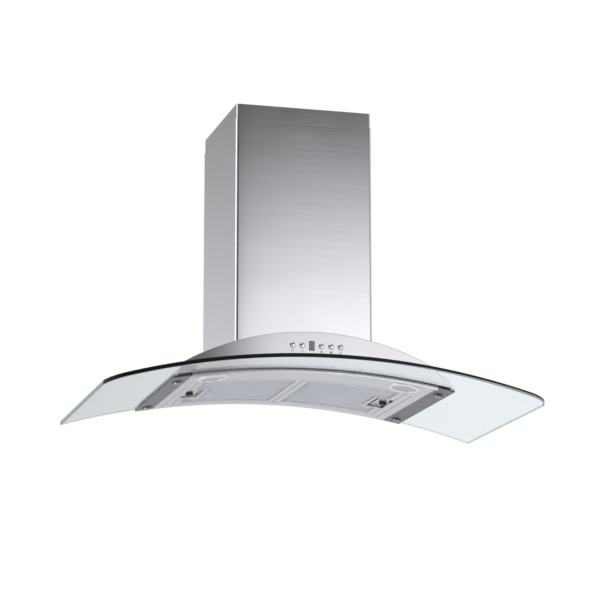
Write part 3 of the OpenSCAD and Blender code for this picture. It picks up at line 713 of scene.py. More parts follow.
@dataclass
class Studio:
    """Camera, floor, background and soft lights."""

    camera_at: Point = (-1.3853, -5.2315, -1.5929)
    heading: float = 15.144
    lift: float = 12.655
    lens: float = 158.03
    floor_z: float = -4.0
    floor_side: float = 60.0

    def build(self) -> None:
        """Makes the whole studio."""
        self.camera()
        self.world()
        half, z = self.floor_side / 2, self.floor_z
        self.plane("studio_floor", FLOOR_PAINT, True, (-half, -half, z), (half, -half, z),
                   (half, half, z), (-half, half, z))
        self.lights()

    def camera(self) -> None:
        """The camera stands low on the left and looks up at the hood."""
        data = bpy.data.cameras.new("camera")
        data.lens = self.lens
        data.sensor_width = 36.0
        data.clip_start, data.clip_end = 0.1, 100.0
        camera = add_object("camera", data)
        camera.location = self.camera_at
        camera.rotation_mode = "XYZ"
        camera.rotation_euler = (math.radians(90 + self.lift), 0.0, math.radians(-self.heading))
        bpy.context.scene.camera = camera

    def world(self) -> None:
        """A white background round a room that is bright behind the hood and dark in front of it."""
        world = bpy.context.scene.world = bpy.data.worlds.new("studio")
        sheet = NodeSheet(world)
        sheet.tree.nodes.clear()
        x, y, z = sheet.add("SeparateXYZ", {"Vector": sheet.here("Generated")}).outputs

        def ramp(source: Socket, start: float, end: float, low: float, high: float) -> Socket:
            """A smooth step from low to high as the source runs from start to end."""
            return sheet.spread(source, low, high, start, end, smooth=True)

        def mixed(factor: Socket, first: Socket, second: Socket) -> Socket:
            """One value that runs from the first to the second."""
            return sheet.add("Mix", {MIX_FACTOR: factor, LEVEL_A: first, LEVEL_B: second}).outputs[0]

        front = mixed(ramp(x, 0.72, 0.92, 0.0, 1.0), ramp(z, 0.02, 0.5, 0.11, 0.18),
                      ramp(z, -1.0, 1.0, 0.9, 0.8))
        around = mixed(ramp(y, -0.2, 0.7, 0.0, 1.0), front, ramp(z, 0.15, 0.33, 0.92, 0.26))
        upper = mixed(ramp(z, 0.75, 0.97, 0.0, 1.0), around, ramp(z, 0.45, 0.9, 0.35, 0.55))
        dipped = sheet.math("MULTIPLY", upper, ramp(z, 0.03, 0.10, 0.45, 1.0))
        level = mixed(ramp(z, -0.04, 0.02, 1.0, 0.0), dipped, ramp(z, -0.22, -0.10, 0.85, 0.45))
        room = sheet.add("Background", {"Strength": level, "Color": (0.985, 0.99, 1.0, 1.0)})
        white = sheet.add("Background", {"Strength": 1.0, "Color": (1.0, 1.0, 1.0, 1.0)})
        path = sheet.add("LightPath").outputs
        seen = sheet.math("MAXIMUM", path["Is Camera Ray"], path["Is Transmission Ray"])
        shader = sheet.add("MixShader", {0: seen, 1: room.outputs[0], 2: white.outputs[0]})
        sheet.add("OutputWorld", {"Surface": shader.outputs[0]})
        bpy.context.scene.view_settings.view_transform = "Standard"
        bpy.context.scene.view_settings.look = "None"

    def plane(self, name: str, finish: Finish, seen: bool, *corners: Point) -> None:
        """A flat piece of the studio.

        Args:
            name: Its name.
            finish: Its finish.
            seen: Whether the camera sees it.
            *corners: Its four corners.
        """
        mesh = bpy.data.meshes.new(name)
        mesh.from_pydata(corners, [], [(0, 1, 2, 3)])
        mesh.materials.append(finish.material())
        panel = add_object(name, mesh)
        panel.visible_camera = seen

    def lights(self) -> None:
        """A graded panel in front on the right, a tall strip on the left and a weak fill above."""
        self.plane("front_glow", GRADED_GLOW, False, (0.02, -1.6, -1.8), (1.7, -1.6, -1.8),
                   (1.7, -1.6, 0.6), (0.02, -1.6, 0.6))
        self.plane("left_glow", STRIP_GLOW, False, (-1.6, 0.6, -1.6), (-1.6, -1.1, -1.6),
                   (-1.6, -1.1, 0.8), (-1.6, 0.6, 0.8))
        data = bpy.data.lights.new("high_fill", "AREA")
        data.shape = "RECTANGLE"
        data.size, data.size_y = 2.4, 2.0
        data.energy = 14.0
        light = add_object("high_fill", data)
        light.location = (-0.6, -0.2, 1.9)
        light.rotation_mode = "QUATERNION"
        light.rotation_quaternion = (Vector((0.0, 0.0, -0.5)) - light.location).to_track_quat("-Z", "Y")
        light.visible_camera = False


# ---------------------------------------------------------------- chimney


@dataclass
class ChimneyCovers:
    """The square lower cover and the upper cover that slides inside it."""

    wall: float = 0.001
    lower_bend: float = 0.007
    upper_bend: float = 0.0055
    arch_r: float = 0.5403
    arch_axis_z: float = -1.036
    seam_rise: float = 0.0007
    seam_half: float = 0.005
    screw_head_r: float = 0.004
    recess_half: float = 0.0022
    recess_w: float = 0.0004

    def outline(self, half: float, bend: float, splits: int = 22) -> list[Corner]:
        """Points round a square with bent corners, anticlockwise from the middle of the back."""
        reach = (half - bend) * math.sqrt(2)
        points: list[Corner] = []
        for corner in range(4):
            start = corner * math.pi / 2
            after = start + math.pi / 2
            (x0, y0), (x1, y1) = ((reach * math.cos(a + math.pi / 4), reach * math.sin(a + math.pi / 4))
                                  for a in (start, after))
            points += [(x0 + bend * math.cos(start + a), y0 + bend * math.sin(start + a))
                       for a in steps_between(0.0, math.pi / 2, 10)]
            (x0, y0), (x1, y1) = points[-1], (x1 + bend * math.cos(after), y1 + bend * math.sin(after))
            points += [(x0 * (1 - t) + x1 * t, y0 * (1 - t) + y1 * t)
                       for t in (i / splits for i in range(1, splits))]
        return points

    def shell(self, half: float, bend: float, top: float,
              bottom: Callable[[float], float]) -> MeshMaker:
        """A bent cover with a rolled top edge.

        Args:
            half: Half the cover's outer width.
            bend: Outer radius of its corners.
            top: Height of its top edge.
            bottom: Height of its bottom edge at x.

        Returns:
            The cover's mesh.
        """
        maker = MeshMaker()
        wall = self.wall
        levels: list[tuple[float, float | None]] = [
            (0.0, None), (0.0, top - 0.5 * wall), (0.15 * wall, top - 0.15 * wall), (0.5 * wall, top),
            (0.85 * wall, top - 0.15 * wall), (wall, top - 0.5 * wall), (wall, None)]
        maker.loft([maker.ring((x, y, bottom(x) if level is None else level)
                               for x, y in self.outline(half - inset, bend - inset))
                    for inset, level in levels], looped=True)
        return maker

    def build(self) -> None:
        """Makes both covers and the seam and screws at the back."""
        low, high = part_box("lower_chimney")
        half = (high.x - low.x) / 2

        def arch(x: float) -> float:
            """The lower cover's bottom edge follows the arched deck."""
            return self.arch_axis_z + math.sqrt(self.arch_r ** 2 - x * x)

        finish_piece("chimney_cover_lower", self.shell(half, self.lower_bend, high.z, arch),
                     CHIMNEY_STEEL, Body.CANOPY, ["lower_chimney"])
        up_low, up_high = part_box("upper_chimney")
        up_half = (up_high.x - up_low.x) / 2
        finish_piece("chimney_cover_upper", self.shell(up_half, self.upper_bend, up_high.z,
                                                       lambda x: up_low.z),
                     UPPER_STEEL, Body.CEILING, ["upper_chimney"])
        self.back_seam("chimney_seam_lower", half, arch(0.0), high.z - 2 * MM, Body.CANOPY)
        self.back_seam("chimney_seam_upper", up_half, up_low.z + 2 * MM, up_high.z - 2 * MM, Body.CEILING)
        self.screws()

    def back_seam(self, name: str, half: float, bottom: float, top: float, body: Body) -> None:
        """The narrow folded joint down the middle of a cover's back.

        Args:
            name: The piece's name.
            half: Half the cover's width.
            bottom: Lower end of the joint.
            top: Upper end of the joint.
            body: The body that it rides on.
        """
        rise, width = self.seam_rise, self.seam_half
        section = [(-width, -0.0002), (-width, 0.3 * rise), (-0.8 * width, rise), (0.8 * width, rise),
                   (width, 0.3 * rise), (width, -0.0002)]
        maker = MeshMaker.swept(((x, half + y, z) for x, y in section) for z in (bottom + 1.5 * MM, top))
        finish_piece(name, maker, CHIMNEY_STEEL, body, sharp=50.0)

    def screws(self) -> None:
        """Domed screws with a cross recess low in the cover's back."""
        low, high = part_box("cover_screws")
        centre_z = (low.z + high.z) / 2
        head = self.screw_head_r
        for side in Side:
            x = side.value * (high.x - head)
            place = turned(x, high.y - 1.8 * MM, centre_z, "+Y")
            profile = [(0.0, -0.006), (0.002, -0.006), (0.002, 0.0), (head, 0.0), (head, 0.0006)]
            profile += [(head * math.cos(a), 0.0006 + 0.0012 * math.sin(a))
                        for a in steps_between(0.0, math.pi / 2, 6)[1:-1]]
            profile.append((0.0, 0.0018))
            piece = finish_piece(f"cover_screw_{side.word}", MeshMaker.lathed(profile, place, 32), FASTENER,
                                 Body.CANOPY, ["cover_screws"])
            for wide, deep in ((self.recess_half, self.recess_w), (self.recess_w, self.recess_half)):
                recess = MeshMaker()
                recess.box((-wide, -deep, 0.0009), (wide, deep, 0.003), place)
                carve(piece, recess)


# ---------------------------------------------------------------- body


@dataclass
class BodyPanels:
    """Front and rear panels of the body, its deck and the frame behind."""

    arch_r: float = 0.540
    arch_axis_z: float = -1.036
    sheet: float = 0.0012
    roll: float = 0.0011
    end_r: float = 0.013
    lip_half: float = 0.262
    lip_d: float = 0.011
    lip_drops: Corner = (0.0023, 0.0035)

    def edge_points(self, half: float, inset: float) -> list[tuple[float, float, float]]:
        """Columns of a panel as x, top z and bottom z, from left to right.

        Args:
            half: Half the panel's width.
            inset: How far inside the outline the columns run.

        Returns:
            One row per column.
        """
        reach = half - inset
        radius = self.arch_r - inset
        end = self.end_r - inset
        centre_x = half - self.end_r
        centre_z = self.arch_axis_z + math.sqrt((self.arch_r - self.end_r) ** 2 - centre_x ** 2)
        columns = []
        for x in steps_between(-reach, reach, 76):
            top = self.arch_axis_z + math.sqrt(radius ** 2 - x * x)
            if abs(x) > centre_x:
                over = min(1.0, (abs(x) - centre_x) / end)
                top = min(top, centre_z + end * math.sqrt(max(0.0, 1 - over ** 2)))
            columns.append((x, top, BEND.height(x, BEND.seat_r) + inset * 0.4))
        return columns

    def panel(self, outer_y: float, inner_y: float) -> MeshMaker:
        """A flat panel whose outer rim is rolled back.

        Args:
            outer_y: Place of the panel's outer face.
            inner_y: Place of its inner face.

        Returns:
            The panel's mesh.
        """
        low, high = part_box("front_panel")
        half = (high.x - low.x) / 2
        maker = MeshMaker()
        to_inside = 1.0 if inner_y > outer_y else -1.0
        profile = [(self.roll, 0.0), (0.62 * self.roll, 0.08 * self.roll), (0.3 * self.roll, 0.3 * self.roll),
                   (0.08 * self.roll, 0.62 * self.roll), (0.0, self.roll)]

        def loop(inset: float, y: float) -> Ring:
            """The panel's outline at one depth."""
            columns = self.edge_points(half, inset)
            return maker.ring([(x, y, top) for x, top, _ in columns]
                              + [(x, y, bottom) for x, _, bottom in reversed(columns)])

        loops = [loop(inset, outer_y + to_inside * back) for inset, back in profile]
        loops.append(loop(0.0, inner_y))
        for first, second in zip(loops, loops[1:]):
            maker.bridge(first, second)
        for loop in (loops[0], loops[-1]):
            count = len(loop) // 2
            for i in range(count - 1):
                maker.face(loop[i], loop[i + 1], loop[2 * count - 2 - i], loop[2 * count - 1 - i])
        return maker

    def build(self, controls: "Controls") -> None:
        """Makes both panels and dresses the body.

        Args:
            controls: The controls, whose openings are cut in the front panel.
        """
        low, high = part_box("front_panel")
        front = finish_piece("front_panel_sheet", self.panel(low.y, low.y + self.sheet), BODY_STEEL,
                             Body.CANOPY, ["front_panel"], sharp=40.0)
        carve(front, controls.holes(), sharp=40.0)
        low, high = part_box("rear_panel")
        finish_piece("rear_panel_sheet", self.panel(high.y, low.y), BODY_STEEL, Body.CANOPY,
                     ["rear_panel"], sharp=40.0)
        self.lip()
        dress(DECK_STEEL, "body_shell")

    def lip(self) -> None:
        """The folded stiffening lip behind the front panel's top edge."""
        low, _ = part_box("front_panel")
        y0, y1 = low.y + self.sheet, low.y + self.sheet + self.lip_d
        outer, inner = (self.arch_r - drop for drop in self.lip_drops)
        sections = []
        for x in steps_between(-self.lip_half, self.lip_half, 48):
            z0 = self.arch_axis_z + math.sqrt(outer ** 2 - x * x)
            z1 = self.arch_axis_z + math.sqrt(inner ** 2 - x * x)
            sections.append([(x, y0, z0), (x, y1, z0), (x, y1, z1), (x, y0, z1)])
        maker = MeshMaker.swept(sections)
        finish_piece("front_panel_lip", maker, BODY_STEEL, Body.CANOPY)


# ---------------------------------------------------------------- controls


@dataclass
class Controls:
    """Five push buttons, a small display and plain marks below them."""

    button_r: float = 0.00525
    ring_out: float = 0.0061
    ring_gap: float = 0.00022
    cap_sag: float = 0.0018
    cap_depth: float = 0.0022
    stem_r: float = 0.002
    clearance: float = 0.0004
    cut: float = 0.004
    mark_drop: float = 0.0113
    mark_half: float = 0.0024
    mark_line: float = 0.0006
    mark_rise: float = 0.00008
    pane_inset: float = 0.0015
    hole_inset: float = 0.0013

    @cached_property
    def face_y(self) -> float:
        """Place of the panel's front face."""
        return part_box("front_panel")[0].y

    def at(self, x: float, z: float) -> Matrix:
        """A place on the panel whose local Z looks out of it."""
        return turned(x, self.face_y, z, "-Y")

    def button_centres(self) -> list[Corner]:
        """X and Z of each button."""
        centres = []
        for i in range(1, 6):
            low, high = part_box(f"button_{i}")
            centres.append(((low.x + high.x) / 2, (low.z + high.z) / 2))
        return centres

    def holes(self) -> MeshMaker:
        """The cutter for the openings in the front panel."""
        cutter = MeshMaker()
        radius = self.button_r + self.clearance
        for x, z in self.button_centres():
            cutter.revolve([(0.0, -self.cut), (radius, -self.cut), (radius, self.cut), (0.0, self.cut)],
                           self.at(x, z), 40)
        low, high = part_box("display_window")
        cutter.box((low.x + self.hole_inset, self.face_y - self.cut, low.z + self.hole_inset),
                   (high.x - self.hole_inset, self.face_y + self.cut, high.z - self.hole_inset))
        return cutter

    def build(self) -> None:
        """Makes the rings, display and marks, and dresses the parts behind them."""
        for number, (x, z) in enumerate(self.button_centres(), 1):
            self.button_ring(number, self.at(x, z))
            self.mark(number, self.at(x, z - self.mark_drop))
            self.button_cap(number, self.at(x, z))
        self.display()
        dress(BLACK_PLASTIC, "control_housing", "display_module")
        dress(WHITE_PLASTIC, "button_guide")
        dress(BOARD_RESIN, "control_board")

    def button_cap(self, number: int, place: Matrix) -> None:
        """One domed push button with its stem.

        Args:
            number: The button's number.
            place: Its place on the panel.
        """
        low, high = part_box(f"button_{number}")
        front, back = self.face_y - low.y, self.face_y - high.y
        dome_r = (self.button_r ** 2 + self.cap_sag ** 2) / (2 * self.cap_sag)
        profile = [(dome_r * math.sin(a), front - dome_r * (1 - math.cos(a)))
                   for a in steps_between(0.0, math.asin(self.button_r / dome_r), 10)]
        profile += [(self.button_r, -self.cap_depth), (self.stem_r, -self.cap_depth),
                    (self.stem_r, back), (0.0, back)]
        maker = MeshMaker.lathed(profile, place, 40)
        finish_piece(f"button_cap_{number}", maker, BUTTON_CHROME, f"button_{number}",
                     [f"button_{number}"], sharp=30.0)

    def button_ring(self, number: int, place: Matrix) -> None:
        """A slim turned ring round one button.

        Args:
            number: The button's number.
            place: Its place on the panel.
        """
        inner, outer = self.button_r + self.ring_gap, self.ring_out
        profile = [(inner, -0.0008), (inner, 0.0005), (inner + 0.0002, 0.0007), (outer - 0.0005, 0.0006),
                   (outer - 0.0001, 0.0003), (outer, 0.0), (outer - 0.0002, -0.00005),
                   (inner + 0.00035, -0.00005), (inner + 0.00035, -0.0008)]
        maker = MeshMaker.lathed(profile, place, looped=True)
        finish_piece(f"button_ring_{number}", maker, RING_CHROME, Body.CANOPY)

    def mark(self, number: int, place: Matrix) -> None:
        """A plain printed mark under one button: ring, bar, cross, three bars or dots.

        Args:
            number: The button's number.
            place: The mark's place on the panel.
        """
        maker = MeshMaker()
        half, line, rise = self.mark_half, self.mark_line, self.mark_rise
        sunk = -rise / 4

        def bar(width: float, height: float, dx: float = 0.0, dz: float = 0.0) -> None:
            """One printed bar."""
            maker.box((dx - width, dz - height, sunk), (dx + width, dz + height, rise), place)

        if number == 1:
            maker.revolve([(half - line, sunk), (half - line, rise), (half, rise), (half, sunk)],
                          place, 24, looped=True)
        elif number in (2, 3):
            bar(half, line)
            if number == 3:
                bar(line, half)
        elif number == 4:
            for k in range(3):
                bar(line * 1.4, half * (0.45 + 0.25 * k), (k - 1) * 0.0011)
        else:
            maker.revolve([(0.0, sunk), (0.0008, sunk), (0.0008, rise), (0.0, rise)], place, 20)
            for k in range(6):
                bar(line, line, half * math.cos(k * math.pi / 3), half * math.sin(k * math.pi / 3))
        finish_piece(f"button_mark_{number}", maker, ICON_INK, Body.CANOPY)

    def display(self) -> None:
        """The display's window, its frame and the faint unlit segments of one digit."""
        low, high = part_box("display_window")
        place = self.at((low.x + high.x) / 2, (low.z + high.z) / 2)
        half_x, half_z = (high.x - low.x) / 2 - self.pane_inset, (high.z - low.z) / 2 - self.pane_inset

        def rings(maker: MeshMaker, steps: Sequence[tuple[float, float]]) -> list[Ring]:
            """Rings round the window, each with what it grows and how high it lies."""
            return [maker.ring(place @ Vector((sx * (half_x + grow), sy * (half_z + grow), rise))
                               for sx, sy in ((-1, -1), (1, -1), (1, 1), (-1, 1))) for grow, rise in steps]

        pane = MeshMaker()
        pane.loft(rings(pane, [(0.0, -0.003), (0.0, 0.0002), (-0.0003, 0.0004)]), capped=True)
        finish_piece("display_pane", pane, DISPLAY, Body.CANOPY, ["display_window"],
                     bevel=0.00015)
        rim = MeshMaker()
        rim.loft(rings(rim, [(-0.0013, -0.0003), (-0.0013, 0.0006), (-0.0010, 0.0008), (0.0, 0.0006),
                             (0.0, -0.0003)]), looped=True)
        finish_piece("display_frame", rim, BLACK_PLASTIC, Body.CANOPY)
        digit = MeshMaker()
        w, h, t, foot, rise = 0.0028, 0.0046, 0.0005, 0.0003, 0.00048
        for dz in (-h, 0.0, h):
            digit.box((-w + t, dz - t, foot), (w - t, dz + t, rise), place)
        for dx in (-w, w):
            for dz in (-h / 2, h / 2):
                reach = h / 2 - 1.6 * t
                digit.box((dx - t, dz - reach, foot), (dx + t, dz + reach, rise), place)
        finish_piece("display_segments", digit, DISPLAY_MARK, Body.CANOPY)


# ---------------------------------------------------------------- glass canopy

CAP_NUT = [(0.0, 0.0), (0.0085, 0.0), (0.0086, 0.0005), (0.0084, 0.0010), (0.0076, 0.0012),
           (0.0076, 0.0016), (0.0080, 0.0018), (0.0080, 0.0040)]
CAP_NUT += [(0.0068 + 0.0012 * math.cos(a), 0.0040 + 0.0012 * math.sin(a))
            for a in steps_between(0.0, math.pi / 2, 5)[1:]]
CAP_NUT += [(0.0050, 0.0058), (0.0025, 0.0063), (0.0, 0.0065)]
WASHER = [(0.0080, 0.0), (0.0080, 0.0009), (0.0102, 0.0009), (0.0106, 0.0005), (0.0106, 0.0)]


@dataclass
class GlassCanopy:
    """The bent glass sheet with its cut-out, the gaskets, the clamp strips and their caps."""

    corner_r: float = 0.040
    arris: float = 0.0009
    cut_x: float = 0.250
    cut_y0: float = -0.228
    cut_y1: float = 0.118
    bolt_r: float = 0.005
    cap_r: float = 0.008
    strip_edge: float = 0.0006
    corner_steps: int = 10
    front_rows: int = 6
    hole_rows: int = 14

    def columns(self, inset: float) -> list[Corner]:
        """X and front Y of each column, from left to right.

        Args:
            inset: How far inside the outline the columns run.

        Returns:
            One pair per column.
        """
        low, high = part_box("glass_canopy")
        half, front = high.x - inset, low.y + inset
        radius = self.corner_r - inset
        centre_x = half - radius
        arc = [(centre_x + radius * math.sin(a), front + radius * (1 - math.cos(a)))
               for a in steps_between(0.0, math.pi / 2, self.corner_steps)]
        middle = steps_between(-self.cut_x, self.cut_x, 34)
        right = steps_between(self.cut_x, centre_x, 11)[1:-1]
        inner = [-x for x in reversed(right)] + middle + right
        return ([(-x, y) for x, y in reversed(arc)] + [(x, front) for x in inner] + arc)

    def build(self) -> None:
        """Makes the glass and everything that clamps it."""
        self.glass()
        self.strips()
        self.caps()
        dress(RUBBER, "gasket_upper", "gasket_lower")
        dress(FASTENER, "glass_bolts")

    def glass(self) -> None:
        """Top and bottom faces, polished edges and the cut-out's walls as one closed mesh."""
        low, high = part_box("glass_canopy")
        maker = MeshMaker()
        top_r, bottom_r = BEND.glass_r, BEND.glass_r - BEND.glass_t
        rounding = [(self.arris, 0.0), (0.45 * self.arris, 0.12 * self.arris),
                    (0.12 * self.arris, 0.45 * self.arris), (0.0, self.arris)]

        def rows(front: float, back: float) -> list[float]:
            """Y of each row of a column, front to back."""
            return (steps_between(front, self.cut_y0, self.front_rows)
                    + steps_between(self.cut_y0, self.cut_y1, self.hole_rows)[1:] + [back])

        def sheet(radius: float, inset: float) -> list[Ring]:
            """One face's grid, as a list of columns."""
            back = high.y - inset
            return [maker.ring((x, y, BEND.height(x, radius)) for y in rows(front, back))
                    for x, front in self.columns(inset)]

        def rim(radius: float, inset: float) -> Ring:
            """The outline as one ring: front, right, back, left."""
            back = high.y - inset
            columns = self.columns(inset)
            points = [(x, y) for x, y in columns]
            points += [(columns[-1][0], y) for y in rows(columns[-1][1], back)[1:]]
            points += [(x, back) for x, _ in reversed(columns[:-1])]
            points += [(columns[0][0], y) for y in reversed(rows(columns[0][1], back)[1:-1])]
            return maker.ring((x, y, BEND.height(x, radius)) for x, y in points)

        cut0, cut1 = self.front_rows, self.front_rows + self.hole_rows
        sheets = []
        for radius in (top_r, bottom_r):
            grid = sheet(radius, self.arris)
            xs = [column[0].co.x for column in grid]
            ys = rows(low.y + self.arris, high.y - self.arris)
            for i in range(len(grid) - 1):
                for j in range(len(ys) - 1):
                    if not (abs((xs[i] + xs[i + 1]) / 2) < self.cut_x and cut0 <= j < cut1):
                        maker.face(grid[i][j], grid[i + 1][j], grid[i + 1][j + 1], grid[i][j + 1])
            sheets.append((grid, xs))
        loops = [rim(top_r - drop, inset) for inset, drop in rounding]
        loops += [rim(bottom_r + drop, inset) for inset, drop in reversed(rounding)]
        count = len(self.columns(0.0))
        right_rows = len(rows(0.0, 1.0)) - 1
        left_start = 2 * (count - 1) + right_rows
        for first, second in zip(loops, loops[1:]):
            size = len(first)
            for k in range(size):
                m = (k + 1) % size
                # Finish 1 paints the front edge in shade with a pale lower band, 2 paints the left edge in
                # grey shade, 3 gives the right and back edges a painted glow.
                paint = 1 if k < count - 1 else 2 if k >= left_start else 3
                maker.face(first[k], first[m], second[m], second[k], paint=paint)
        (top, xs), (bottom, _) = sheets
        left = min(range(len(xs)), key=lambda i: abs(xs[i] + self.cut_x))
        right = min(range(len(xs)), key=lambda i: abs(xs[i] - self.cut_x))
        # The cut-out's walls take finish 2, painted grey as shade.
        for i in range(left, right):
            for j in (cut0, cut1):
                maker.face(top[i][j], top[i + 1][j], bottom[i + 1][j], bottom[i][j], paint=2)
        for j in range(cut0, cut1):
            for i in (left, right):
                maker.face(top[i][j], top[i][j + 1], bottom[i][j + 1], bottom[i][j], paint=2)
        piece = finish_piece("glass_sheet", maker, [CANOPY_GLASS, FRONT_EDGE_PAINTED, SIDE_EDGE_PAINTED_SHADE, EDGE_PAINTED_GLOW],
                             Body.CANOPY, ["glass_canopy"], sharp=30.0)
        holes = MeshMaker()
        for x, y in self.bolt_places():
            place = BEND.place(x, y, top_r - BEND.glass_t / 2)
            holes.revolve([(0.0, -0.01), (self.bolt_r, -0.01), (self.bolt_r, 0.01), (0.0, 0.01)], place, 32)
        carve(piece, holes, sharp=30.0)

    def bolt_places(self) -> list[Corner]:
        """X and Y of the four glass bolts."""
        low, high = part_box("clamp_strip_right")
        nuts_low, nuts_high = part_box("cap_nuts")
        x, ys = (low.x + high.x) / 2, (nuts_low.y + self.cap_r, nuts_high.y - self.cap_r)
        return [(side.value * x, y) for side in Side for y in ys]

    def strips(self) -> None:
        """The two painted clamp strips with rounded edges."""
        low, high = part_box("clamp_strip_right")
        for side in Side:
            edge = self.strip_edge
            sections = []
            for y, inset in ((low.y, edge), (low.y + edge, 0.0), (high.y - edge, 0.0), (high.y, edge)):
                xs = steps_between(low.x + inset, high.x - inset, 6)
                row = [(x, BEND.plate_out_r - inset) for x in xs]
                row += [(x, BEND.under_r + inset) for x in reversed(xs)]
                sections.append([(side.value * x, y, BEND.height(x, radius)) for x, radius in row])
            finish_piece(f"clamp_bar_{side.word}", MeshMaker.swept(sections), STRIP_PAINT, Body.CANOPY,
                         [f"clamp_strip_{side.word}"], sharp=30.0, bevel=edge / 2)

    def caps(self) -> None:
        """Domed caps with a turned foot ring under the four glass bolts."""
        for number, (x, y) in enumerate(self.bolt_places(), 1):
            place = BEND.place(x, y, BEND.under_r) @ Matrix.Rotation(math.pi, 4, "X")
            finish_piece(f"bolt_cap_{number}", MeshMaker.lathed(CAP_NUT, place), CAP_CHROME,
                         Body.CANOPY, ["cap_nuts"], sharp=50.0)
            finish_piece(f"cap_washer_{number}", MeshMaker.lathed(WASHER, place, looped=True), RUBBER,
                         Body.CANOPY)


# ---------------------------------------------------------------- underside

LAMP_RING = [(0.0240, 0.0014), (0.0240, 0.0024), (0.0243, 0.0028), (0.0250, 0.0030), (0.0316, 0.0030),
             (0.0328, 0.0025), (0.0337, 0.0016), (0.0340, 0.0009), (0.0340, 0.0004), (0.0297, 0.0004),
             (0.0297, -0.0060), (0.0280, -0.0060), (0.0280, 0.0014)]
LENS = [(0.0, -0.0015), (0.0279, -0.0015), (0.0279, 0.0013), (0.0236, 0.0013)]
LENS += [(0.0228 - k * 0.0024, 0.0018 if k % 2 else 0.0012) for k in range(9)] + [(0.0, 0.0016)]
KNOB_FOOT, KNOB_TOP, KNOB_R = 0.00075, 0.0065, 0.0080
KNOB = [(0.0076, KNOB_FOOT), (KNOB_R, KNOB_FOOT + 0.0006), (KNOB_R, KNOB_TOP - 0.0010),
        (0.0076, KNOB_TOP - 0.0003), (0.0070, KNOB_TOP), (0.0063, KNOB_TOP - 0.0002),
        (0.0050, KNOB_TOP - 0.0009), (0.0030, KNOB_TOP - 0.0014)]


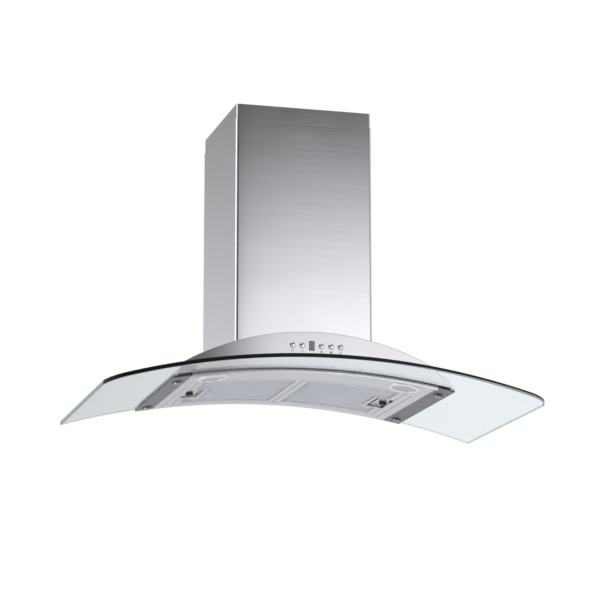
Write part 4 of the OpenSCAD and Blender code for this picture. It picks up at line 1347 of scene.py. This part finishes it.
@dataclass
class Underside:
    """Tray, filters, latches and lamps."""

    rim: float = 0.013
    strand_pitch: float = 0.0042
    strand_step: float = 0.0042
    strand_w: float = 0.00045
    strand_t: float = 0.0003
    notch_x0: float = 0.184
    notch_half: float = 0.045
    notch_wall: float = 0.007
    knob_x: float = 0.202
    knob_offset: float = 0.007
    latch_lift: float = 0.0035
    edge_half: float = 0.2545
    roll_r: float = 0.0011
    lamp_x: float = 0.200
    knob_gap: float = 0.0001
    rib: float = 0.00018
    overlap: float = 0.0006
    margin: float = 0.0035
    net_layers: tuple[Corner, Corner] = ((0.0012, 0.0), (0.0022, 0.5))
    core_lifts: Corner = (0.0032, 0.0062)

    def build(self) -> None:
        """Makes everything that is seen from below."""
        dress(TRAY_STEEL, "underside_tray")
        self.front_roll()
        self.front_grey_band()
        for side in Side:
            self.filter(side)
            self.latch(side)
            self.lamp(side)

    def front_roll(self) -> None:
        """The rolled lower edge of the tray's front lip."""
        low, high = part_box("underside_tray")
        sections = []
        for x in steps_between(-self.edge_half, self.edge_half, 60):
            base = BEND.height(x, BEND.under_r - 0.004)
            sections.append([(x, low.y + 0.001 - self.roll_r * math.cos(a) * 1.05,
                              base - self.roll_r * math.sin(a))
                             for a in steps_between(-math.pi / 2, 1.5 * math.pi, 12)[:-1]])
        maker = MeshMaker.swept(sections)
        finish_piece("tray_front_roll", maker, TRAY_STEEL, Body.CANOPY, sharp=70.0)

    def front_grey_band(self) -> None:
        """A grey band along the top of the tray's front edge, over the lower gasket and above the rolled lip.
        """
        low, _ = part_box("underside_tray")
        front, back = low.y - 0.0005, low.y + 0.0003
        sections = []
        for x in steps_between(-self.edge_half, self.edge_half, 60):
            top, bottom = BEND.height(x, BEND.plate_out_r + 0.0012), BEND.height(x, BEND.under_r)
            sections.append([(x, front, bottom), (x, back, bottom), (x, back, top), (x, front, top)])
        maker = MeshMaker.swept(sections)
        finish_piece("tray_front_grey_band", maker, GREY_EDGE_BAND, Body.CANOPY)

    def filter(self, side: Side) -> None:
        """One filter: its frame keeps its shape, its pack gets real strands over a woven core.

        Args:
            side: Which filter.
        """
        dress(FILTER_ALUMINIUM, f"filter_frame_{side.word}")
        low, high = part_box(f"filter_frame_{side.word}")
        inner = min(abs(low.x), abs(high.x)) + self.rim - self.overlap
        outer = max(abs(low.x), abs(high.x)) - self.rim + self.overlap
        front = low.y + self.margin + self.rim - self.overlap
        back = high.y - self.margin - self.rim + self.overlap
        latch_low, latch_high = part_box(f"latch_{side.word}")
        latch_y = (latch_low.y + latch_high.y) / 2
        stop_x = self.notch_x0 - self.notch_wall + self.overlap
        stop_y = self.notch_half + self.notch_wall - self.overlap
        for layer, (lift, shift) in enumerate(self.net_layers, 1):
            radius = BEND.under_r + lift
            maker = MeshMaker()
            row, y = 0, front + self.strand_pitch * (0.5 + shift) / 2
            while y < back:
                end = stop_x if abs(y - latch_y) < stop_y else outer
                self.strand(maker, side, inner, end, y, radius, row, (front, back))
                row += 1
                y += self.strand_pitch
            name = f"filter_net_{layer}_{side.word}"
            finish_piece(name, maker, STRAND, f"filter_{side.word}",
                         [f"filter_mesh_{side.word}"] if layer == 1 else (), sharp=60.0)
        maker = MeshMaker()
        blocks = [((inner, stop_x), (front, back)), ((stop_x, outer), (front, latch_y - stop_y)),
                  ((stop_x, outer), (latch_y + stop_y, back))]
        for (x0, x1), (y0, y1) in blocks:
            rings = []
            for x in steps_between(x0, x1, 16):
                z0, z1 = (BEND.height(x, BEND.under_r + lift) for lift in self.core_lifts)
                sx = side.value * x
                rings.append(maker.ring([(sx, y0, z0), (sx, y1, z0), (sx, y1, z1), (sx, y0, z1)]))
            maker.loft(rings, capped=True)
        finish_piece(f"filter_core_{side.word}", maker, MESH_CORE, f"filter_{side.word}")

    def strand(self, maker: MeshMaker, side: Side, start: float, end: float, y: float, radius: float,
               row: int, limits: tuple[float, float]) -> None:
        """One zigzag strand of the expanded net.

        Args:
            maker: The net's mesh.
            side: Which filter.
            start: Inner end along X.
            end: Outer end along X.
            y: The strand's middle line.
            radius: Radius of the layer it lies on.
            row: Its number, which sets the zigzag's phase.
            limits: Lowest and highest Y that it may reach.
        """
        count = int((end - start) / self.strand_step)
        w, t = self.strand_w, self.strand_t
        rings = []
        for i in range(count + 1):
            x = start + (end - start) * i / count
            sway = self.strand_pitch / 2 if (i + row) % 2 else -self.strand_pitch / 2
            centre = min(limits[1], max(limits[0], y + sway * 0.92))
            z = BEND.height(x, radius)
            rings.append(maker.ring((side.value * x, centre + dy, z + dz)
                                    for dy, dz in ((-w, -t), (w, -t * 0.2), (w, t), (-w, t * 0.2))))
        maker.loft(rings, capped=True)

    def latch(self, side: Side) -> None:
        """The latch plate keeps its shape; its knob is dished and ribbed for the finger.

        Args:
            side: Which latch.
        """
        dress(LATCH_STEEL, f"latch_{side.word}")
        low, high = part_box(f"latch_{side.word}")
        y = (low.y + high.y) / 2
        radius = BEND.under_r + self.latch_lift
        place = BEND.place(side.value * self.knob_x, y, radius) @ Matrix.Translation(
            (side.value * self.knob_offset, 0, 0)) @ Matrix.Rotation(math.pi, 4, "X")
        maker = MeshMaker()
        steps = 72
        rings = []
        for radius, z in KNOB:
            ring = []
            for a in (2 * math.pi * k / steps for k in range(steps)):
                ribbed = radius - self.knob_gap + (self.rib * math.cos(24 * a) if radius == KNOB_R else 0.0)
                ring.append(place @ Vector((ribbed * math.cos(a), ribbed * math.sin(a), z)))
            rings.append(maker.ring(ring))
        maker.loft(rings)
        bottom = maker.bm.verts.new(place @ Vector((0, 0, KNOB_FOOT)))
        dish = maker.bm.verts.new(place @ Vector((0, 0, KNOB_TOP - 0.0016)))
        for k in range(steps):
            m = (k + 1) % steps
            maker.face(rings[0][m], rings[0][k], bottom)
            maker.face(rings[-1][k], rings[-1][m], dish)
        finish_piece(f"latch_button_{side.word}", maker, KNOB_PLASTIC, f"latch_{side.word}",
                     [f"latch_knob_{side.word}"], sharp=50.0)

    def lamp(self, side: Side) -> None:
        """One round lamp: chromed ring, ribbed lens and reflector.

        Args:
            side: Which lamp.
        """
        low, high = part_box(f"lamp_bezel_{side.word}")
        y = (low.y + high.y) / 2
        place = BEND.place(side.value * self.lamp_x, y, BEND.under_r) @ Matrix.Rotation(math.pi, 4, "X")
        finish_piece(f"lamp_ring_{side.word}", MeshMaker.lathed(LAMP_RING, place, 72, looped=True),
                     LAMP_CHROME, Body.CANOPY, [f"lamp_bezel_{side.word}"], sharp=40.0)
        finish_piece(f"lamp_glass_{side.word}", MeshMaker.lathed(LENS, place, 64), LAMP_LENS,
                     Body.CANOPY, [f"lamp_lens_{side.word}"], sharp=60.0)
        dress(LAMP_CHROME, f"lamp_cup_{side.word}")


# ---------------------------------------------------------------- frame and blower


def dress_inner_works() -> None:
    """Gives the parts inside the chimney and the body their finishes."""
    dress(ZINC, "ceiling_plate", "upper_uprights", "lower_uprights", "mounting_ring", "blower_box",
          "damper_left", "damper_right", "scroll_housing", "inlet_ring_left", "inlet_ring_right",
          "motor_bracket")
    dress(FASTENER, "frame_bolts", "damper_pin", "motor_shaft")
    dress(BLACK_PLASTIC, "outlet_collar", "cable_gland", "lamp_transformer")
    dress(WHITE_PLASTIC, "capacitor", "terminal_box")
    dress(WHEEL_PLASTIC, "impeller")
    dress(MOTOR_PAINT, "motor")


def main() -> None:
    """Builds the studio and every visible piece in order."""
    logging.basicConfig(level=logging.INFO, format="%(name)s: %(message)s")
    Studio().build()
    controls = Controls()
    ChimneyCovers().build()
    BodyPanels().build(controls)
    controls.build()
    GlassCanopy().build()
    Underside().build()
    dress_inner_works()


if __name__ == "__main__":
    main()
